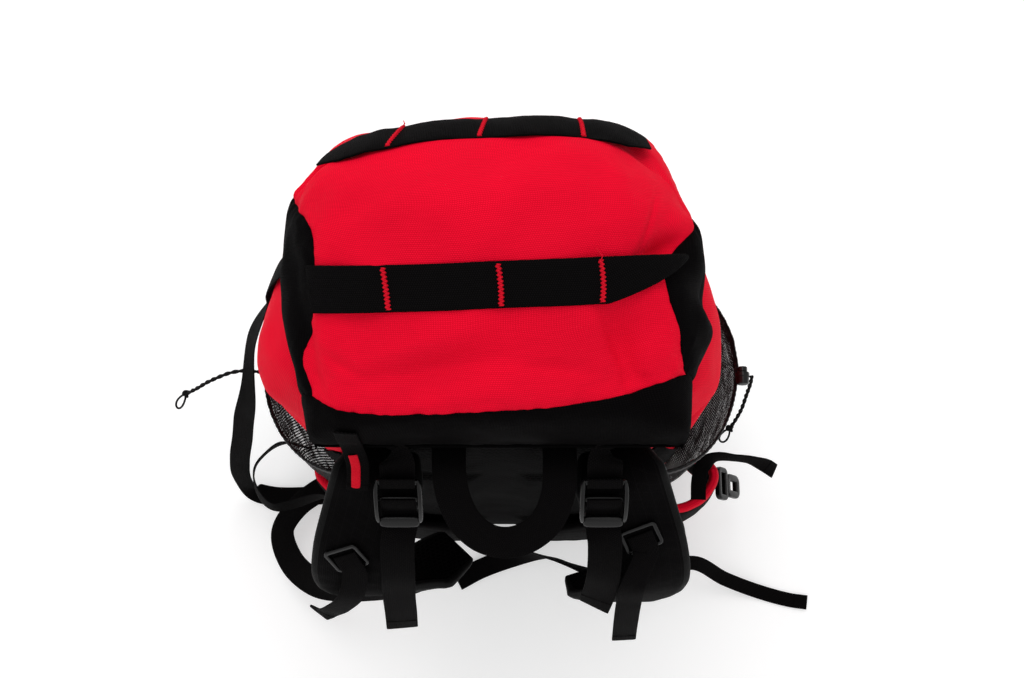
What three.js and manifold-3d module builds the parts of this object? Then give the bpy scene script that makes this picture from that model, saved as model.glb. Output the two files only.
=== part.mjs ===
// A hiking backpack that stands on the floor with its harness towards the viewer, in millimetres.
// X runs to the right, Y away from the harness to the front of the bag, Z up.
// The origin is on the floor under the middle of the bag.
import * as THREE from "three";
import Module from "manifold-3d";

// Driving dimensions of the bag
const BODY_HEIGHT = 470; // from the floor to the rim under the collar
const BODY_WIDTH = 384; // across the fullest part of the stuffed sides
const BODY_DEPTH = 232; // from the back panel to the front panel
const COLLAR_HEIGHT = 30; // from the rim up to the gathered throat
const THROAT_WIDTH = 150; // the gathered opening, side to side
const THROAT_DEPTH = 92; // the gathered opening, back to front
const GATHERS = 14; // folds round the collar
const GATHER_DEPTH = 5; // height of a collar fold
const LID_WIDTH = 316; // across the lid and its two gussets
const LID_DEPTH = 242; // from the back edge of the lid to its front edge
const LID_DROP = 14; // how far the lid's edge hangs below the throat
const LID_HEIGHT = 140; // from the lower edge of the lid to its crown
const LID_SET_BACK = 130; // from the middle of the bag to the back edge of the lid
const POCKET_BULGE = 46; // how far a mesh pocket stands off the side
const POCKET_SLANT = 1.1; // power that moves its fullest part towards the front
const POCKET_FOOT = 0.07; // share of the way up where a mesh pocket begins
const POCKET_BACK = 0.48; // share of the way up of its hem at the back corner
const POCKET_FRONT = 0.53; // and at the front corner
const POCKET_EDGES = { left: [0.412, 0.59], right: [-0.09, 0.088] }; // shares of a turn
const TAB_TOP = 0.67; // share of the way up where the small side tabs end
const TAB_REACH = 0.035; // share of a turn that a side tab reaches round the side

// Thicknesses and gaps
const CLOTH = 1.6; // coated main cloth with its lining
const BASE_CLOTH = 3; // doubled cloth of the base
const BACK_PAD = 8; // foam back panel under its mesh
const POCKET_CLOTH = 1.2; // knitted mesh of the side pockets
const WEBBING = 1.6; // thickness of every strap
const SEAM_GAP = 0.3; // between neighbours that are sewn together
const PAD_GAP = 0.8; // beside the edges of the padded back panel
const LAID_GAP = 0.9; // between a strap and the curved cloth under it

// Harness
const DAISY_WIDTH = 31; // the two strips across the lid
const LIFTER_WIDTH = 29; // load lifter straps
const HAUL_WIDTH = 26; // carrying loop between the load lifters
const PAD_WIDTH = 72; // shoulder pads
const PAD_THICKNESS = 13;
const STERNUM_WIDTH = 21; // chest straps on the shoulder pads
const LOWER_WIDTH = 28; // straps from the shoulder pads to the base
const SIDE_STRAP_WIDTH = 21; // compression strap that hangs on the left
const LID_STRAP_WIDTH = 20; // straps that hold the lid down
const HIP_STRAP_WIDTH = 25; // straps of the hip belt
const TAIL_WIDTH = 15; // the narrow strap ends on the right
const HIP_HEIGHT = 92; // hip belt wings, top edge to bottom edge
const HIP_THICKNESS = 12;
const HIP_MIDDLE = 0.19; // share of the body's height at the middle of the hip belt

// Hardware
const LOCK_WIDTH = 37; // ladder lock of a load lifter
const LOCK_LENGTH = 44;
const LOCK_THICKNESS = 4.5;
const LOCK_BAR = 5; // width of each of its bars
const RING_WIDTH = 31; // slider that carries the chest strap
const RING_LENGTH = 25;
const RING_THICKNESS = 3;
const RING_BAR = 3.2;
const BUCKLE_WIDTH = 30; // plain clasp of a lid strap
const BUCKLE_LENGTH = 46;
const BUCKLE_THICKNESS = 8;
const HIP_BUCKLE_WIDTH = 34;
const HIP_BUCKLE_LENGTH = 44;
const HIP_BUCKLE_THICKNESS = 7;
const HIP_BUCKLE_RAIL = 7;
const HIP_BUCKLE_SLOT = 6;
const HIP_BUCKLE_HOLE = 10;
const HIP_BUCKLE_DROP = 19; // from the middle of the wing down to the middle of the buckle
const HIP_BUCKLE_LEAN = 0.6435; // radians from upright
const HIP_BUCKLE_SHARE = 0.75; // place along the right wing
const CORD_DIAMETER = 4; // doubled elastic of the pocket hems
const CORD_LOCK_DIAMETER = 13;
const CORD_LOCK_LENGTH = 17;
const KNOT_DIAMETER = 8.5;
const END_LOOP_LENGTH = 19; // eye of cord behind the knot

const LID_BASE = BODY_HEIGHT + COLLAR_HEIGHT + CLOTH - LID_DROP;
const HALF_WIDTH = BODY_WIDTH / 2;
const HALF_DEPTH = BODY_DEPTH / 2;

// Where the four panels of the bag meet, as shares of a turn from +X towards +Y
const SEAMS = { rightBack: -0.108, rightFront: 0.112, leftFront: 0.388, leftBack: 0.608 };

// The bag from its base to its rim. up is a share of BODY_HEIGHT, left and right of half of
// BODY_WIDTH, front and back of half of BODY_DEPTH. square is the exponent of the rounded outline,
// and lean how much narrower the front is than the back.
const BODY_SECTIONS = [
  { up: 0.0, left: 0.7, right: 0.7, front: 0.76, back: 0.82, square: 3.4, lean: 0.0 },
  { up: 0.045, left: 0.8, right: 0.8, front: 0.88, back: 0.94, square: 3.4, lean: 0.01 },
  { up: 0.16, left: 0.86, right: 0.86, front: 0.96, back: 0.99, square: 3.3, lean: 0.02 },
  { up: 0.32, left: 0.89, right: 0.885, front: 1.0, back: 1.0, square: 3.2, lean: 0.03 },
  { up: 0.5, left: 0.91, right: 0.905, front: 1.02, back: 1.0, square: 2.95, lean: 0.05 },
  { up: 0.68, left: 0.965, right: 0.93, front: 1.02, back: 1.0, square: 2.8, lean: 0.07 },
  { up: 0.83, left: 1.0, right: 0.925, front: 0.99, back: 1.0, square: 2.7, lean: 0.08 },
  { up: 0.94, left: 0.91, right: 0.88, front: 0.93, back: 0.98, square: 2.9, lean: 0.05 },
  { up: 1.0, left: 0.81, right: 0.8, front: 0.84, back: 0.92, square: 2.9, lean: 0.02 },
];

// Folds and bulges of the bag: turn and rise are where, long and wide how far it reaches along and
// across itself as shares of the bag's turn and rise, tilt the way it runs, out a share of HALF_DEPTH.
const BODY_FOLDS = [
  { turn: 0.525, rise: 0.72, long: 0.16, wide: 0.045, tilt: 1.45, out: 0.075 },
  { turn: 0.575, rise: 0.8, long: 0.16, wide: 0.016, tilt: 1.5, out: -0.07 },
  { turn: -0.035, rise: 0.74, long: 0.14, wide: 0.04, tilt: 1.6, out: 0.055 },
  { turn: -0.06, rise: 0.7, long: 0.08, wide: 0.016, tilt: 0.9, out: -0.085 },
  { turn: -0.078, rise: 0.82, long: 0.14, wide: 0.014, tilt: 1.6, out: -0.05 },
  { turn: 0.25, rise: 0.8, long: 0.09, wide: 0.035, tilt: 0.1, out: -0.04 },
  { turn: 0.29, rise: 0.34, long: 0.1, wide: 0.03, tilt: -0.35, out: -0.035 },
  { turn: 0.19, rise: 0.5, long: 0.1, wide: 0.035, tilt: 0.4, out: -0.035 },
  { turn: 0.4, rise: 0.62, long: 0.08, wide: 0.03, tilt: 0.5, out: -0.04 },
  { turn: 0.09, rise: 0.6, long: 0.08, wide: 0.03, tilt: -0.5, out: -0.04 },
];

// The lid from its back edge over the crown to its front edge. back is a share of LID_DEPTH, rise of
// LID_HEIGHT, wide and shift of half of LID_WIDTH; seamLeft and seamRight are where the red panel
// ends and the gusset begins, as shares of the way down the side.
const LID_SECTIONS = [
  { back: 0.026, rise: 0.01, wide: 0.9, shift: 0.0, seamLeft: 0.95, seamRight: 0.95 },
  { back: 0.052, rise: 0.464, wide: 0.925, shift: -0.004, seamLeft: 0.72, seamRight: 0.74 },
  { back: 0.2, rise: 0.636, wide: 0.96, shift: -0.018, seamLeft: 0.73, seamRight: 0.58 },
  { back: 0.385, rise: 0.836, wide: 1.045, shift: 0.004, seamLeft: 0.55, seamRight: 0.46 },
  { back: 0.6, rise: 1.0, wide: 1.015, shift: -0.042, seamLeft: 0.53, seamRight: 0.74 },
  { back: 0.765, rise: 0.957, wide: 0.96, shift: -0.058, seamLeft: 0.77, seamRight: 0.82 },
  { back: 0.9, rise: 0.8, wide: 0.85, shift: -0.018, seamLeft: 0.78, seamRight: 0.76 },
  { back: 0.98, rise: 0.514, wide: 0.765, shift: -0.008, seamLeft: 0.86, seamRight: 0.8 },
  { back: 1.0, rise: 0.01, wide: 0.74, shift: -0.005, seamLeft: 0.92, seamRight: 0.92 },
];
const LID_TWIST = 0.055; // turn of the crown against the lower edge, in radians
const LID_TUCK = 0.05; // how far the sides pull in at the lower edge
const LID_ROUND = 0.78; // power of the rounded cross-section, 1 for an ellipse, less for a box
const BAND_TOP = 0.14; // least share of the way over the lid where the back band meets the red panel
const FRONT_BAND = 0.9; // share of the way over the lid where the front band begins

// The seam between the back band and the red panel, from the left edge of the lid to the right one
const BACK_SEAM = [
  { over: 0.228 },
  { over: 0.22 },
  { over: 0.165 },
  { over: 0.142 },
  { over: 0.14 },
  { over: 0.165 },
  { over: 0.209 },
  { over: 0.247 },
  { over: 0.25 },
];

// The two strips across the lid: from and to are shares across, middle a share of the way over, bow
// and slant how it runs between its ends, first and last the width left at its ends, reach the share
// of the strip over which its last end narrows, and cut 1 where only its nearer edge does.
const NEAR_STRIP = { from: -0.54, to: 0.57, middle: 0.377, bow: 0.026, slant: 0.0, first: 1, last: 0.08, reach: 0.3, cut: 1 };
const FAR_STRIP = { from: -0.56, to: 0.575, middle: 0.717, bow: -0.02, slant: 0.014, first: 0.4, last: 0.4, reach: 0.125, cut: 0 };

// Folds and dents of the lid, as the bag's: at is the share of the way over, side the share across.
const LID_FOLDS = [
  { side: 0.5, at: 0.45, long: 0.14, wide: 0.035, tilt: 0.25, out: -0.1 },
  { side: 0.36, at: 0.26, long: 0.2, wide: 0.05, tilt: -0.75, out: -0.055 },
  { side: -0.2, at: 0.2, long: 0.25, wide: 0.045, tilt: 0.15, out: -0.03 },
  { side: -0.66, at: 0.34, long: 0.08, wide: 0.14, tilt: 0.0, out: -0.05 },
  { side: 0.78, at: 0.4, long: 0.22, wide: 0.035, tilt: 0.0, out: -0.07 },
  { side: 0.74, at: 0.5, long: 0.16, wide: 0.06, tilt: 0.2, out: 0.04 },
  { side: -0.56, at: 0.66, long: 0.18, wide: 0.04, tilt: 0.55, out: -0.06 },
  { side: -0.42, at: 0.7, long: 0.12, wide: 0.04, tilt: -0.5, out: -0.04 },
  { side: 0.5, at: 0.7, long: 0.14, wide: 0.04, tilt: -0.6, out: -0.05 },
  { side: 0.1, at: 0.54, long: 0.4, wide: 0.08, tilt: 0.1, out: 0.018 },
  { side: -0.35, at: 0.84, long: 0.12, wide: 0.04, tilt: 0.3, out: -0.05 },
];

// Courses round the bag, as free() reads them: places as shares of the half width, the half depth
// and the height of the bag, and the way that the face looks.
const HAUL_ROUTE = [
  { across: -0.198, deep: -1.0, up: 0.985, x: 0, y: -0.2, z: 1 },
  { across: -0.195, deep: -1.19, up: 1.002, x: 0, y: -0.25, z: 1 },
  { across: -0.18, deep: -1.35, up: 0.985, x: 0, y: -0.45, z: 1 },
  { across: -0.135, deep: -1.5, up: 0.962, x: 0, y: -0.55, z: 1 },
  { across: -0.06, deep: -1.6, up: 0.945, x: 0, y: -0.6, z: 1 },
  { across: 0.026, deep: -1.63, up: 0.938, x: 0, y: -0.6, z: 1 },
  { across: 0.11, deep: -1.6, up: 0.945, x: 0, y: -0.6, z: 1 },
  { across: 0.19, deep: -1.5, up: 0.962, x: 0, y: -0.55, z: 1 },
  { across: 0.232, deep: -1.35, up: 0.985, x: 0, y: -0.45, z: 1 },
  { across: 0.24, deep: -1.19, up: 1.002, x: 0, y: -0.25, z: 1 },
  { across: 0.24, deep: -1.0, up: 0.985, x: 0, y: -0.2, z: 1 },
];
const LEFT_PAD_ROUTE = [
  { across: -0.453, deep: -0.992, up: 0.945, x: 0, y: -0.1, z: 1 },
  { across: -0.482, deep: -1.21, up: 0.958, x: 0, y: -0.3, z: 1 },
  { across: -0.531, deep: -1.395, up: 0.9, x: -0.1, y: -0.7, z: 0.7 },
  { across: -0.594, deep: -1.645, up: 0.82, x: -0.15, y: -0.95, z: 0.3 },
  { across: -0.615, deep: -1.8, up: 0.725, x: -0.1, y: -1, z: 0 },
  { across: -0.552, deep: -1.79, up: 0.62, x: 0.1, y: -0.95, z: -0.3 },
  { across: -0.4, deep: -1.65, up: 0.53, x: 0.35, y: -0.6, z: -0.75 },
  { across: -0.2, deep: -1.4, up: 0.49, x: 0.3, y: -0.2, z: -0.95 },
];
const RIGHT_PAD_ROUTE = [
  { across: 0.453, deep: -0.992, up: 0.945, x: 0, y: -0.1, z: 1 },
  { across: 0.482, deep: -1.21, up: 0.96, x: 0, y: -0.3, z: 1 },
  { across: 0.536, deep: -1.385, up: 0.895, x: 0.1, y: -0.7, z: 0.7 },
  { across: 0.6, deep: -1.62, up: 0.82, x: 0.15, y: -0.95, z: 0.3 },
  { across: 0.628, deep: -1.79, up: 0.735, x: 0.1, y: -1, z: 0 },
  { across: 0.585, deep: -1.82, up: 0.615, x: 0, y: -1, z: -0.1 },
  { across: 0.5, deep: -1.78, up: 0.52, x: -0.2, y: -0.75, z: -0.6 },
  { across: 0.4, deep: -1.59, up: 0.46, x: -0.3, y: -0.4, z: -0.9 },
];
const LEFT_TAIL_ROUTE = [
  { across: -0.398, deep: -1.44, up: 0.945, x: 0, y: -0.77, z: 0.63 },
  { across: -0.41, deep: -1.6, up: 0.905, x: 0, y: -0.8, z: 0.6 },
  { across: -0.417, deep: -1.8, up: 0.84, x: 0, y: -0.95, z: 0.3 },
  { across: -0.427, deep: -1.91, up: 0.755, x: 0, y: -1, z: 0.1 },
  { across: -0.432, deep: -1.99, up: 0.68, x: 0.05, y: -1, z: 0.15 },
  { across: -0.438, deep: -2.07, up: 0.61, x: 0.1, y: -1, z: 0.15 },
];
const RIGHT_TAIL_ROUTE = [
  { across: 0.417, deep: -1.44, up: 0.945, x: 0, y: -0.77, z: 0.63 },
  { across: 0.427, deep: -1.6, up: 0.905, x: 0, y: -0.8, z: 0.6 },
  { across: 0.43, deep: -1.79, up: 0.84, x: -0.1, y: -0.95, z: 0.3 },
  { across: 0.422, deep: -1.88, up: 0.765, x: -0.25, y: -1, z: 0.1 },
  { across: 0.406, deep: -1.95, up: 0.7, x: -0.5, y: -1, z: 0.1 },
];
const LEFT_STERNUM_ROUTE = [
  { across: -0.63, deep: -1.9, up: 0.76, x: -0.1, y: -1, z: 0.1 },
  { across: -0.71, deep: -1.96, up: 0.68, x: -0.1, y: -1, z: 0.1 },
  { across: -0.775, deep: -1.96, up: 0.61, x: -0.1, y: -1, z: 0.3 },
  { across: -0.825, deep: -1.95, up: 0.575, x: -0.3, y: -0.9, z: 0.6 },
];
const RIGHT_STERNUM_ROUTE = [
  { across: 0.553, deep: -1.86, up: 0.815, x: 0, y: -1, z: 0.2 },
  { across: 0.55, deep: -1.95, up: 0.74, x: 0, y: -1, z: 0.1 },
  { across: 0.555, deep: -2.05, up: 0.64, x: 0, y: -1, z: 0.25 },
  { across: 0.562, deep: -2.14, up: 0.55, x: 0.05, y: -1, z: 0.2 },
];
const LEFT_LOWER_ROUTE = [
  { across: -0.33, deep: -1.61, up: 0.4715, x: 0, y: -0.5, z: 0.8 },
  { across: -0.54, deep: -1.68, up: 0.36, x: 0.1, y: -0.6, z: 0.8 },
  { across: -0.77, deep: -1.64, up: 0.23, x: 0.2, y: -0.5, z: 0.9 },
  { across: -1.0, deep: -1.53, up: 0.13, x: 0.1, y: -0.3, z: 1 },
  { across: -1.155, deep: -1.3, up: 0.075, x: -0.3, y: -0.1, z: 1 },
  { across: -1.21, deep: -1.03, up: 0.06, x: -0.4, y: 0, z: 0.9 },
  { across: -1.13, deep: -0.8, up: 0.055, x: -0.4, y: 0.1, z: 0.9 },
  { across: -0.98, deep: -0.62, up: 0.05, x: -0.2, y: 0.1, z: 1 },
  { across: -0.84, deep: -0.55, up: 0.045, x: 0, y: 0.1, z: 1 },
];
const RIGHT_LOWER_ROUTE = [
  { across: 0.44, deep: -1.6, up: 0.425, x: 0, y: -0.7, z: 0.6 },
  { across: 0.62, deep: -1.6, up: 0.33, x: 0.1, y: -0.8, z: 0.5 },
  { across: 0.8, deep: -1.5, up: 0.18, x: 0.2, y: -0.6, z: 0.8 },
  { across: 0.93, deep: -1.25, up: 0.08, x: 0.4, y: -0.2, z: 0.9 },
  { across: 0.93, deep: -0.95, up: 0.045, x: 0.3, y: 0, z: 1 },
  { across: 0.8, deep: -0.7, up: 0.04, x: 0, y: 0.1, z: 1 },
];
const FLOOR_TAIL_ROUTE = [
  { across: 1.03, deep: -1.35, up: 0.115, x: 0.3, y: -0.4, z: 0.9 },
  { across: 1.22, deep: -1.46, up: 0.045, x: 0.2, y: -0.3, z: 1 },
  { across: 1.42, deep: -1.56, up: 0.008, x: 0, y: -0.1, z: 1 },
  { across: 1.58, deep: -1.63, up: 0.004, x: 0, y: 0, z: 1 },
  { across: 1.68, deep: -1.655, up: 0.006, x: 0, y: 0, z: 1 },
];
const CENTRE_TAIL_ROUTE = [
  { across: 0.3, deep: -1.42, up: 0.28, x: 0, y: -1, z: 0.3 },
  { across: 0.18, deep: -1.28, up: 0.12, x: 0, y: -0.8, z: 0.6 },
  { across: 0.03, deep: -1.27, up: 0.03, x: 0, y: -0.4, z: 1 },
  { across: -0.12, deep: -1.35, up: 0.01, x: 0, y: 0, z: 1 },
  { across: -0.25, deep: -1.46, up: 0.004, x: 0, y: 0, z: 1 },
];
const SIDE_STRAP_ROUTE = [
  { across: -1.18, deep: 0.12, up: 0.61, x: -1, y: -0.3, z: 0.3 },
  { across: -1.235, deep: -0.2, up: 0.5, x: -0.7, y: -0.7, z: 0.3 },
  { across: -1.295, deep: -0.3, up: 0.4, x: -0.4, y: -1, z: 0.2 },
  { across: -1.34, deep: -0.38, up: 0.31, x: -0.3, y: -1, z: 0.2 },
  { across: -1.4, deep: -0.48, up: 0.2, x: -0.2, y: -1, z: 0.2 },
  { across: -1.43, deep: -0.57, up: 0.1, x: -0.2, y: -1, z: 0.3 },
  { across: -1.4, deep: -0.64, up: 0.03, x: -0.2, y: -0.5, z: 0.9 },
  { across: -1.29, deep: -0.68, up: 0.012, x: 0, y: 0, z: 1 },
  { across: -1.1, deep: -0.68, up: 0.012, x: 0, y: 0.1, z: 1 },
  { across: -0.97, deep: -0.66, up: 0.014, x: 0, y: 0.1, z: 1 },
];
const HIP_LOOP_ROUTE = [
  { across: -1.052, deep: -0.37, up: 0.19, x: 0, y: 1, z: 0.1 },
  { across: -1.17, deep: -0.31, up: 0.175, x: -0.2, y: 1, z: 0.1 },
  { across: -1.27, deep: -0.38, up: 0.16, x: -1, y: 0.6, z: 0.1 },
  { across: -1.34, deep: -0.52, up: 0.15, x: -1, y: 0, z: 0.1 },
  { across: -1.33, deep: -0.7, up: 0.14, x: -0.9, y: -0.4, z: 0.2 },
  { across: -1.24, deep: -0.86, up: 0.135, x: -0.6, y: -1, z: 0.2 },
];

// Where the wings of the hip belt follow the bag: the share of a turn, and how far off it as a share
// of the bag's half depth
const LEFT_WING = [
  { turn: 0.715, off: 0.0302 },
  { turn: 0.68, off: 0.0302 },
  { turn: 0.645, off: 0.0302 },
  { turn: 0.615, off: 0.038 },
  { turn: 0.592, off: 0.059 },
  { turn: 0.574, off: 0.117 },
  { turn: 0.558, off: 0.171 },
];
const RIGHT_WING = [
  { turn: 0.785, off: 0.0302 },
  { turn: 0.82, off: 0.0302 },
  { turn: 0.855, off: 0.0388 },
];
const RIGHT_WING_ROUTE = [
  { across: 0.85, deep: -0.98, up: HIP_MIDDLE, x: 0.2, y: -1, z: 0 },
  { across: 0.965, deep: -0.94, up: HIP_MIDDLE, x: 0.4, y: -1, z: 0 },
  { across: 1.06, deep: -0.83, up: HIP_MIDDLE, x: 1, y: -0.7, z: 0 },
  { across: 1.1, deep: -0.68, up: HIP_MIDDLE, x: 1, y: 0, z: 0 },
  { across: 1.065, deep: -0.56, up: HIP_MIDDLE, x: 0.8, y: 1, z: 0 },
  { across: 0.995, deep: -0.52, up: HIP_MIDDLE, x: 0, y: 1, z: 0 },
];
const HIP_TAIL_ROUTE = [
  { across: 1.01, deep: -0.9, up: 0.2872, x: 0, y: -0.2, z: 1 },
  { across: 1.015, deep: -0.74, up: 0.2915, x: 0, y: 0, z: 1 },
  { across: 1.035, deep: -0.62, up: 0.306, x: -0.2, y: -0.3, z: 1 },
  { across: 1.1, deep: -0.55, up: 0.306, x: 0, y: -1, z: 0.6 },
  { across: 1.2, deep: -0.54, up: 0.29, x: 0, y: -1, z: 0.25 },
  { across: 1.3, deep: -0.545, up: 0.272, x: 0, y: -1, z: 0.3 },
  { across: 1.385, deep: -0.57, up: 0.242, x: 0.1, y: -0.6, z: 0.8 },
  { across: 1.44, deep: -0.6, up: 0.217, x: 0.2, y: -0.2, z: 1 },
];
const LID_ANCHOR_ROUTE = [
  { across: -0.55, deep: -1.17, up: 1.02, x: 0, y: -0.6, z: 0.8 },
  { across: -0.552, deep: -1.25, up: 1.0, x: 0, y: -0.6, z: 0.8 },
  { across: -0.556, deep: -1.31, up: 0.982, x: 0, y: -0.7, z: 0.7 },
];

// The elastic cords of the pocket hems, from the hem to the knot, in mm from the middle of the hem
const LEFT_CORD = [
  [0.6, -2.1, 1.9],
  [-7.9, -2.6, 6.9],
  [-16.9, -3.1, 10.9],
  [-28.9, -5.1, 10.9],
  [-40.9, -8.1, 5.9],
  [-52.9, -11.1, -2.1],
  [-63.9, -14.1, -12.1],
];
const LEFT_KNOT = [-77.4, -15.6, -27.1];
const LEFT_EYE = [-85.9, -23.1, -38.1];
const RIGHT_CORD = [
  [10.9, -9, 8.4],
  [11.6, -12.5, -3.5],
  [10.3, -19.5, -21.7],
  [8.3, -28.5, -41.7],
  [5.3, -34.5, -57.7],
];
const RIGHT_KNOT = [1.3, -40.5, -72.7];
const RIGHT_EYE = [-3.7, -47.5, -85.7];
const RIGHT_CORD_LOCK = [2.3, -8.5, 8.8];

// Colours, roughness and metalness of the finishes
const FINISHES = {
  red: { color: 0xe80b2c, roughness: 0.75, metalness: 0 },
  black: { color: 0x151315, roughness: 0.85, metalness: 0 },
  mesh: { color: 0x0b0a0b, roughness: 0.95, metalness: 0 },
  webbing: { color: 0x121012, roughness: 0.8, metalness: 0 },
  plastic: { color: 0x0c0b0c, roughness: 0.4, metalness: 0 },
  elastic: { color: 0x0d0c0d, roughness: 0.7, metalness: 0 },
};

const wasm = await Module();
wasm.setup();

const pack = new THREE.Group();
pack.name = "hiking_backpack";

function vector(x, y, z) {
  return new THREE.Vector3(x, y, z);
}

function lerp(a, b, t) {
  return a + (b - a) * t;
}

// A smooth curve through one column of a table whose rows are evenly spaced from 0 to 1.
function columnAt(rows, column, share) {
  const place = THREE.MathUtils.clamp(share, 0, 1) * (rows.length - 1);
  const row = Math.min(Math.floor(place), rows.length - 2);
  const t = place - row;
  const value = (index) => rows[THREE.MathUtils.clamp(index, 0, rows.length - 1)][column];
  const [before, low, high, after] = [value(row - 1), value(row), value(row + 1), value(row + 2)];
  const slopeLow = (high - before) / 2;
  const slopeHigh = (after - low) / 2;
  const rest = 3 * (high - low) - 2 * slopeLow - slopeHigh;
  return low + t * (slopeLow + t * (rest + t * (slopeLow + slopeHigh - 2 * (high - low))));
}

// How far the folds of a table stand out at a place, as a share: each is a soft ridge or groove.
function foldsAt(folds, names, first, second) {
  let out = 0;
  for (const fold of folds) {
    const a = first - fold[names[0]];
    const b = second - fold[names[1]];
    const along = (a * Math.cos(fold.tilt) + b * Math.sin(fold.tilt)) / fold.long;
    const over = (b * Math.cos(fold.tilt) - a * Math.sin(fold.tilt)) / fold.wide;
    out += fold.out * Math.exp(-along * along - over * over);
  }
  return out;
}

// The outside of the bag at a share of a turn round it and a share of the way up.
function bodyPoint(turn, rise) {
  const angle = turn * 2 * Math.PI;
  const [c, s] = [Math.cos(angle), Math.sin(angle)];
  const at = (column) => columnAt(BODY_SECTIONS, column, rise);
  const wide = HALF_WIDTH * at(c < 0 ? "left" : "right") * (1 - at("lean") * s);
  const deep = HALF_DEPTH * at(s < 0 ? "back" : "front");
  const square = at("square");
  const reach = (Math.abs(c / wide) ** square + Math.abs(s / deep) ** square) ** (-1 / square);
  const folded = reach + HALF_DEPTH * foldsAt(BODY_FOLDS, ["turn", "rise"], turn, rise);
  return vector(folded * c, folded * s, lerp(BASE_CLOTH + SEAM_GAP, BODY_HEIGHT, at("up")));
}

// The outside of the lid at a share across, -1 to 1, and a share of the way from back to front.
function lidPoint(side, over, folds = LID_FOLDS) {
  const angle = (side * Math.PI) / 2;
  const at = (column) => columnAt(LID_SECTIONS, column, over);
  const across = Math.sign(side) * Math.abs(Math.sin(angle)) ** LID_ROUND;
  const down = Math.max(Math.cos(angle), 0) ** LID_ROUND;
  const fold = LID_HEIGHT * foldsAt(folds, ["side", "at"], side, over);
  const y = -LID_SET_BACK + LID_DEPTH * at("back");
  const x = (LID_WIDTH / 2) * (at("wide") * across * (1 - LID_TUCK * side ** 6) + at("shift"));
  const height = (LID_HEIGHT * at("rise") + fold) * down;
  const point = vector(x + fold * Math.sin(angle), y, LID_BASE + height);
  return point.applyAxisAngle(vector(0, 0, 1), (LID_TWIST * height) / LID_HEIGHT);
}

// The lid with its folds pulled flat, as a strap laid over it finds it.
function flatLid(side, over) {
  return lidPoint(side, over, []);
}

const STEP = 1e-3;

function slopeAcross(surface, a, b) {
  return surface(a + STEP, b).sub(surface(a - STEP, b)).divideScalar(2 * STEP);
}

function slopeUp(surface, a, b) {
  const [low, high] = [Math.max(b - STEP, 0), Math.min(b + STEP, 1)];
  return surface(a, high).sub(surface(a, low)).divideScalar(high - low);
}

function outward(surface, a, b) {
  return slopeAcross(surface, a, b).cross(slopeUp(surface, a, b)).normalize();
}

// A point on a surface, lifted off it.
function lifted(surface, a, b, lift) {
  return surface(a, b).addScaledVector(outward(surface, a, b), lift);
}

// A closed solid between two grids of points of the same size, the outer one seen from outside.
function solidBetween(outer, inner) {
  const [rows, columns] = [outer.length - 1, outer[0].length - 1];
  const points = [...outer.flat(), ...inner.flat()];
  const index = (side, i, j) => side * (rows + 1) * (columns + 1) + i * (columns + 1) + j;
  const faces = [];
  const quad = (a, b, c, d) => faces.push(a, b, c, a, c, d);
  for (let i = 0; i < rows; i++) {
    for (let j = 0; j < columns; j++) {
      quad(index(0, i, j), index(0, i + 1, j), index(0, i + 1, j + 1), index(0, i, j + 1));
      quad(index(1, i, j), index(1, i, j + 1), index(1, i + 1, j + 1), index(1, i + 1, j));
    }
    quad(index(0, i, 0), index(1, i, 0), index(1, i + 1, 0), index(0, i + 1, 0));
    quad(index(0, i + 1, columns), index(1, i + 1, columns), index(1, i, columns), index(0, i, columns));
  }
  for (let j = 0; j < columns; j++) {
    quad(index(0, 0, j), index(0, 0, j + 1), index(1, 0, j + 1), index(1, 0, j));
    quad(index(0, rows, j + 1), index(0, rows, j), index(1, rows, j), index(1, rows, j + 1));
  }
  return geometryOf(points, faces);
}

function geometryOf(points, faces) {
  const geometry = new THREE.BufferGeometry();
  geometry.setAttribute("position", new THREE.Float32BufferAttribute(points.flatMap((p) => p.toArray()), 3));
  geometry.setIndex(faces);
  geometry.computeVertexNormals();
  return geometry;
}

function add(name, finish, geometry) {
  const flat = geometry.index ? geometry.toNonIndexed() : geometry;
  flat.computeVertexNormals();
  const mesh = new THREE.Mesh(flat, new THREE.MeshStandardMaterial(FINISHES[finish]));
  mesh.name = name;
  pack.add(mesh);
}

function evenShares(steps) {
  return Array.from({ length: steps + 1 }, (_, i) => i / steps);
}

// A cloth panel on a surface. place(s, t) gives the place on the surface for each pair of the
// shares first and second, and the cloth lies between the lifts low and high, nowhere under the
// height floor. Its edges keep half the gap of the seam.
function panel(surface, place, first, second, low, high, floor = 0, gap = SEAM_GAP) {
  const [outer, inner] = [[], []];
  const above = (point) => point.setZ(Math.max(point.z, floor));
  const ends = (list, i) => (i === 0) - (i === list.length - 1);
  first.forEach((s, i) => {
    const [top, under] = [[], []];
    second.forEach((t, j) => {
      const [a, b] = place(s, t);
      const across = (ends(first, i) * gap) / 2 / slopeAcross(surface, a, b).length();
      const up = (ends(second, j) * gap) / 2 / slopeUp(surface, a, b).length();
      top.push(above(lifted(surface, a + across, b + up, high)));
      under.push(above(lifted(surface, a + across, b + up, low)));
    });
    outer.push(top);
    inner.push(under);
  });
  return solidBetween(outer, inner);
}

// The smooth course of a strap or a pad through its rows, each with a point and the way that its
// face looks there. Gives the middle, the direction of its width and the way that its face looks.
function course(rows) {
  const middle = new THREE.CatmullRomCurve3(rows.map((row) => row.point), false, "centripetal");
  const looks = new THREE.CatmullRomCurve3(rows.map((row) => row.face.clone().normalize()), false, "centripetal");
  return (share) => {
    const along = middle.getTangent(share);
    const side = along.clone().cross(looks.getPoint(share)).normalize();
    return { point: middle.getPoint(share), side, along, out: side.clone().cross(along).normalize() };
  };
}

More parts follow.
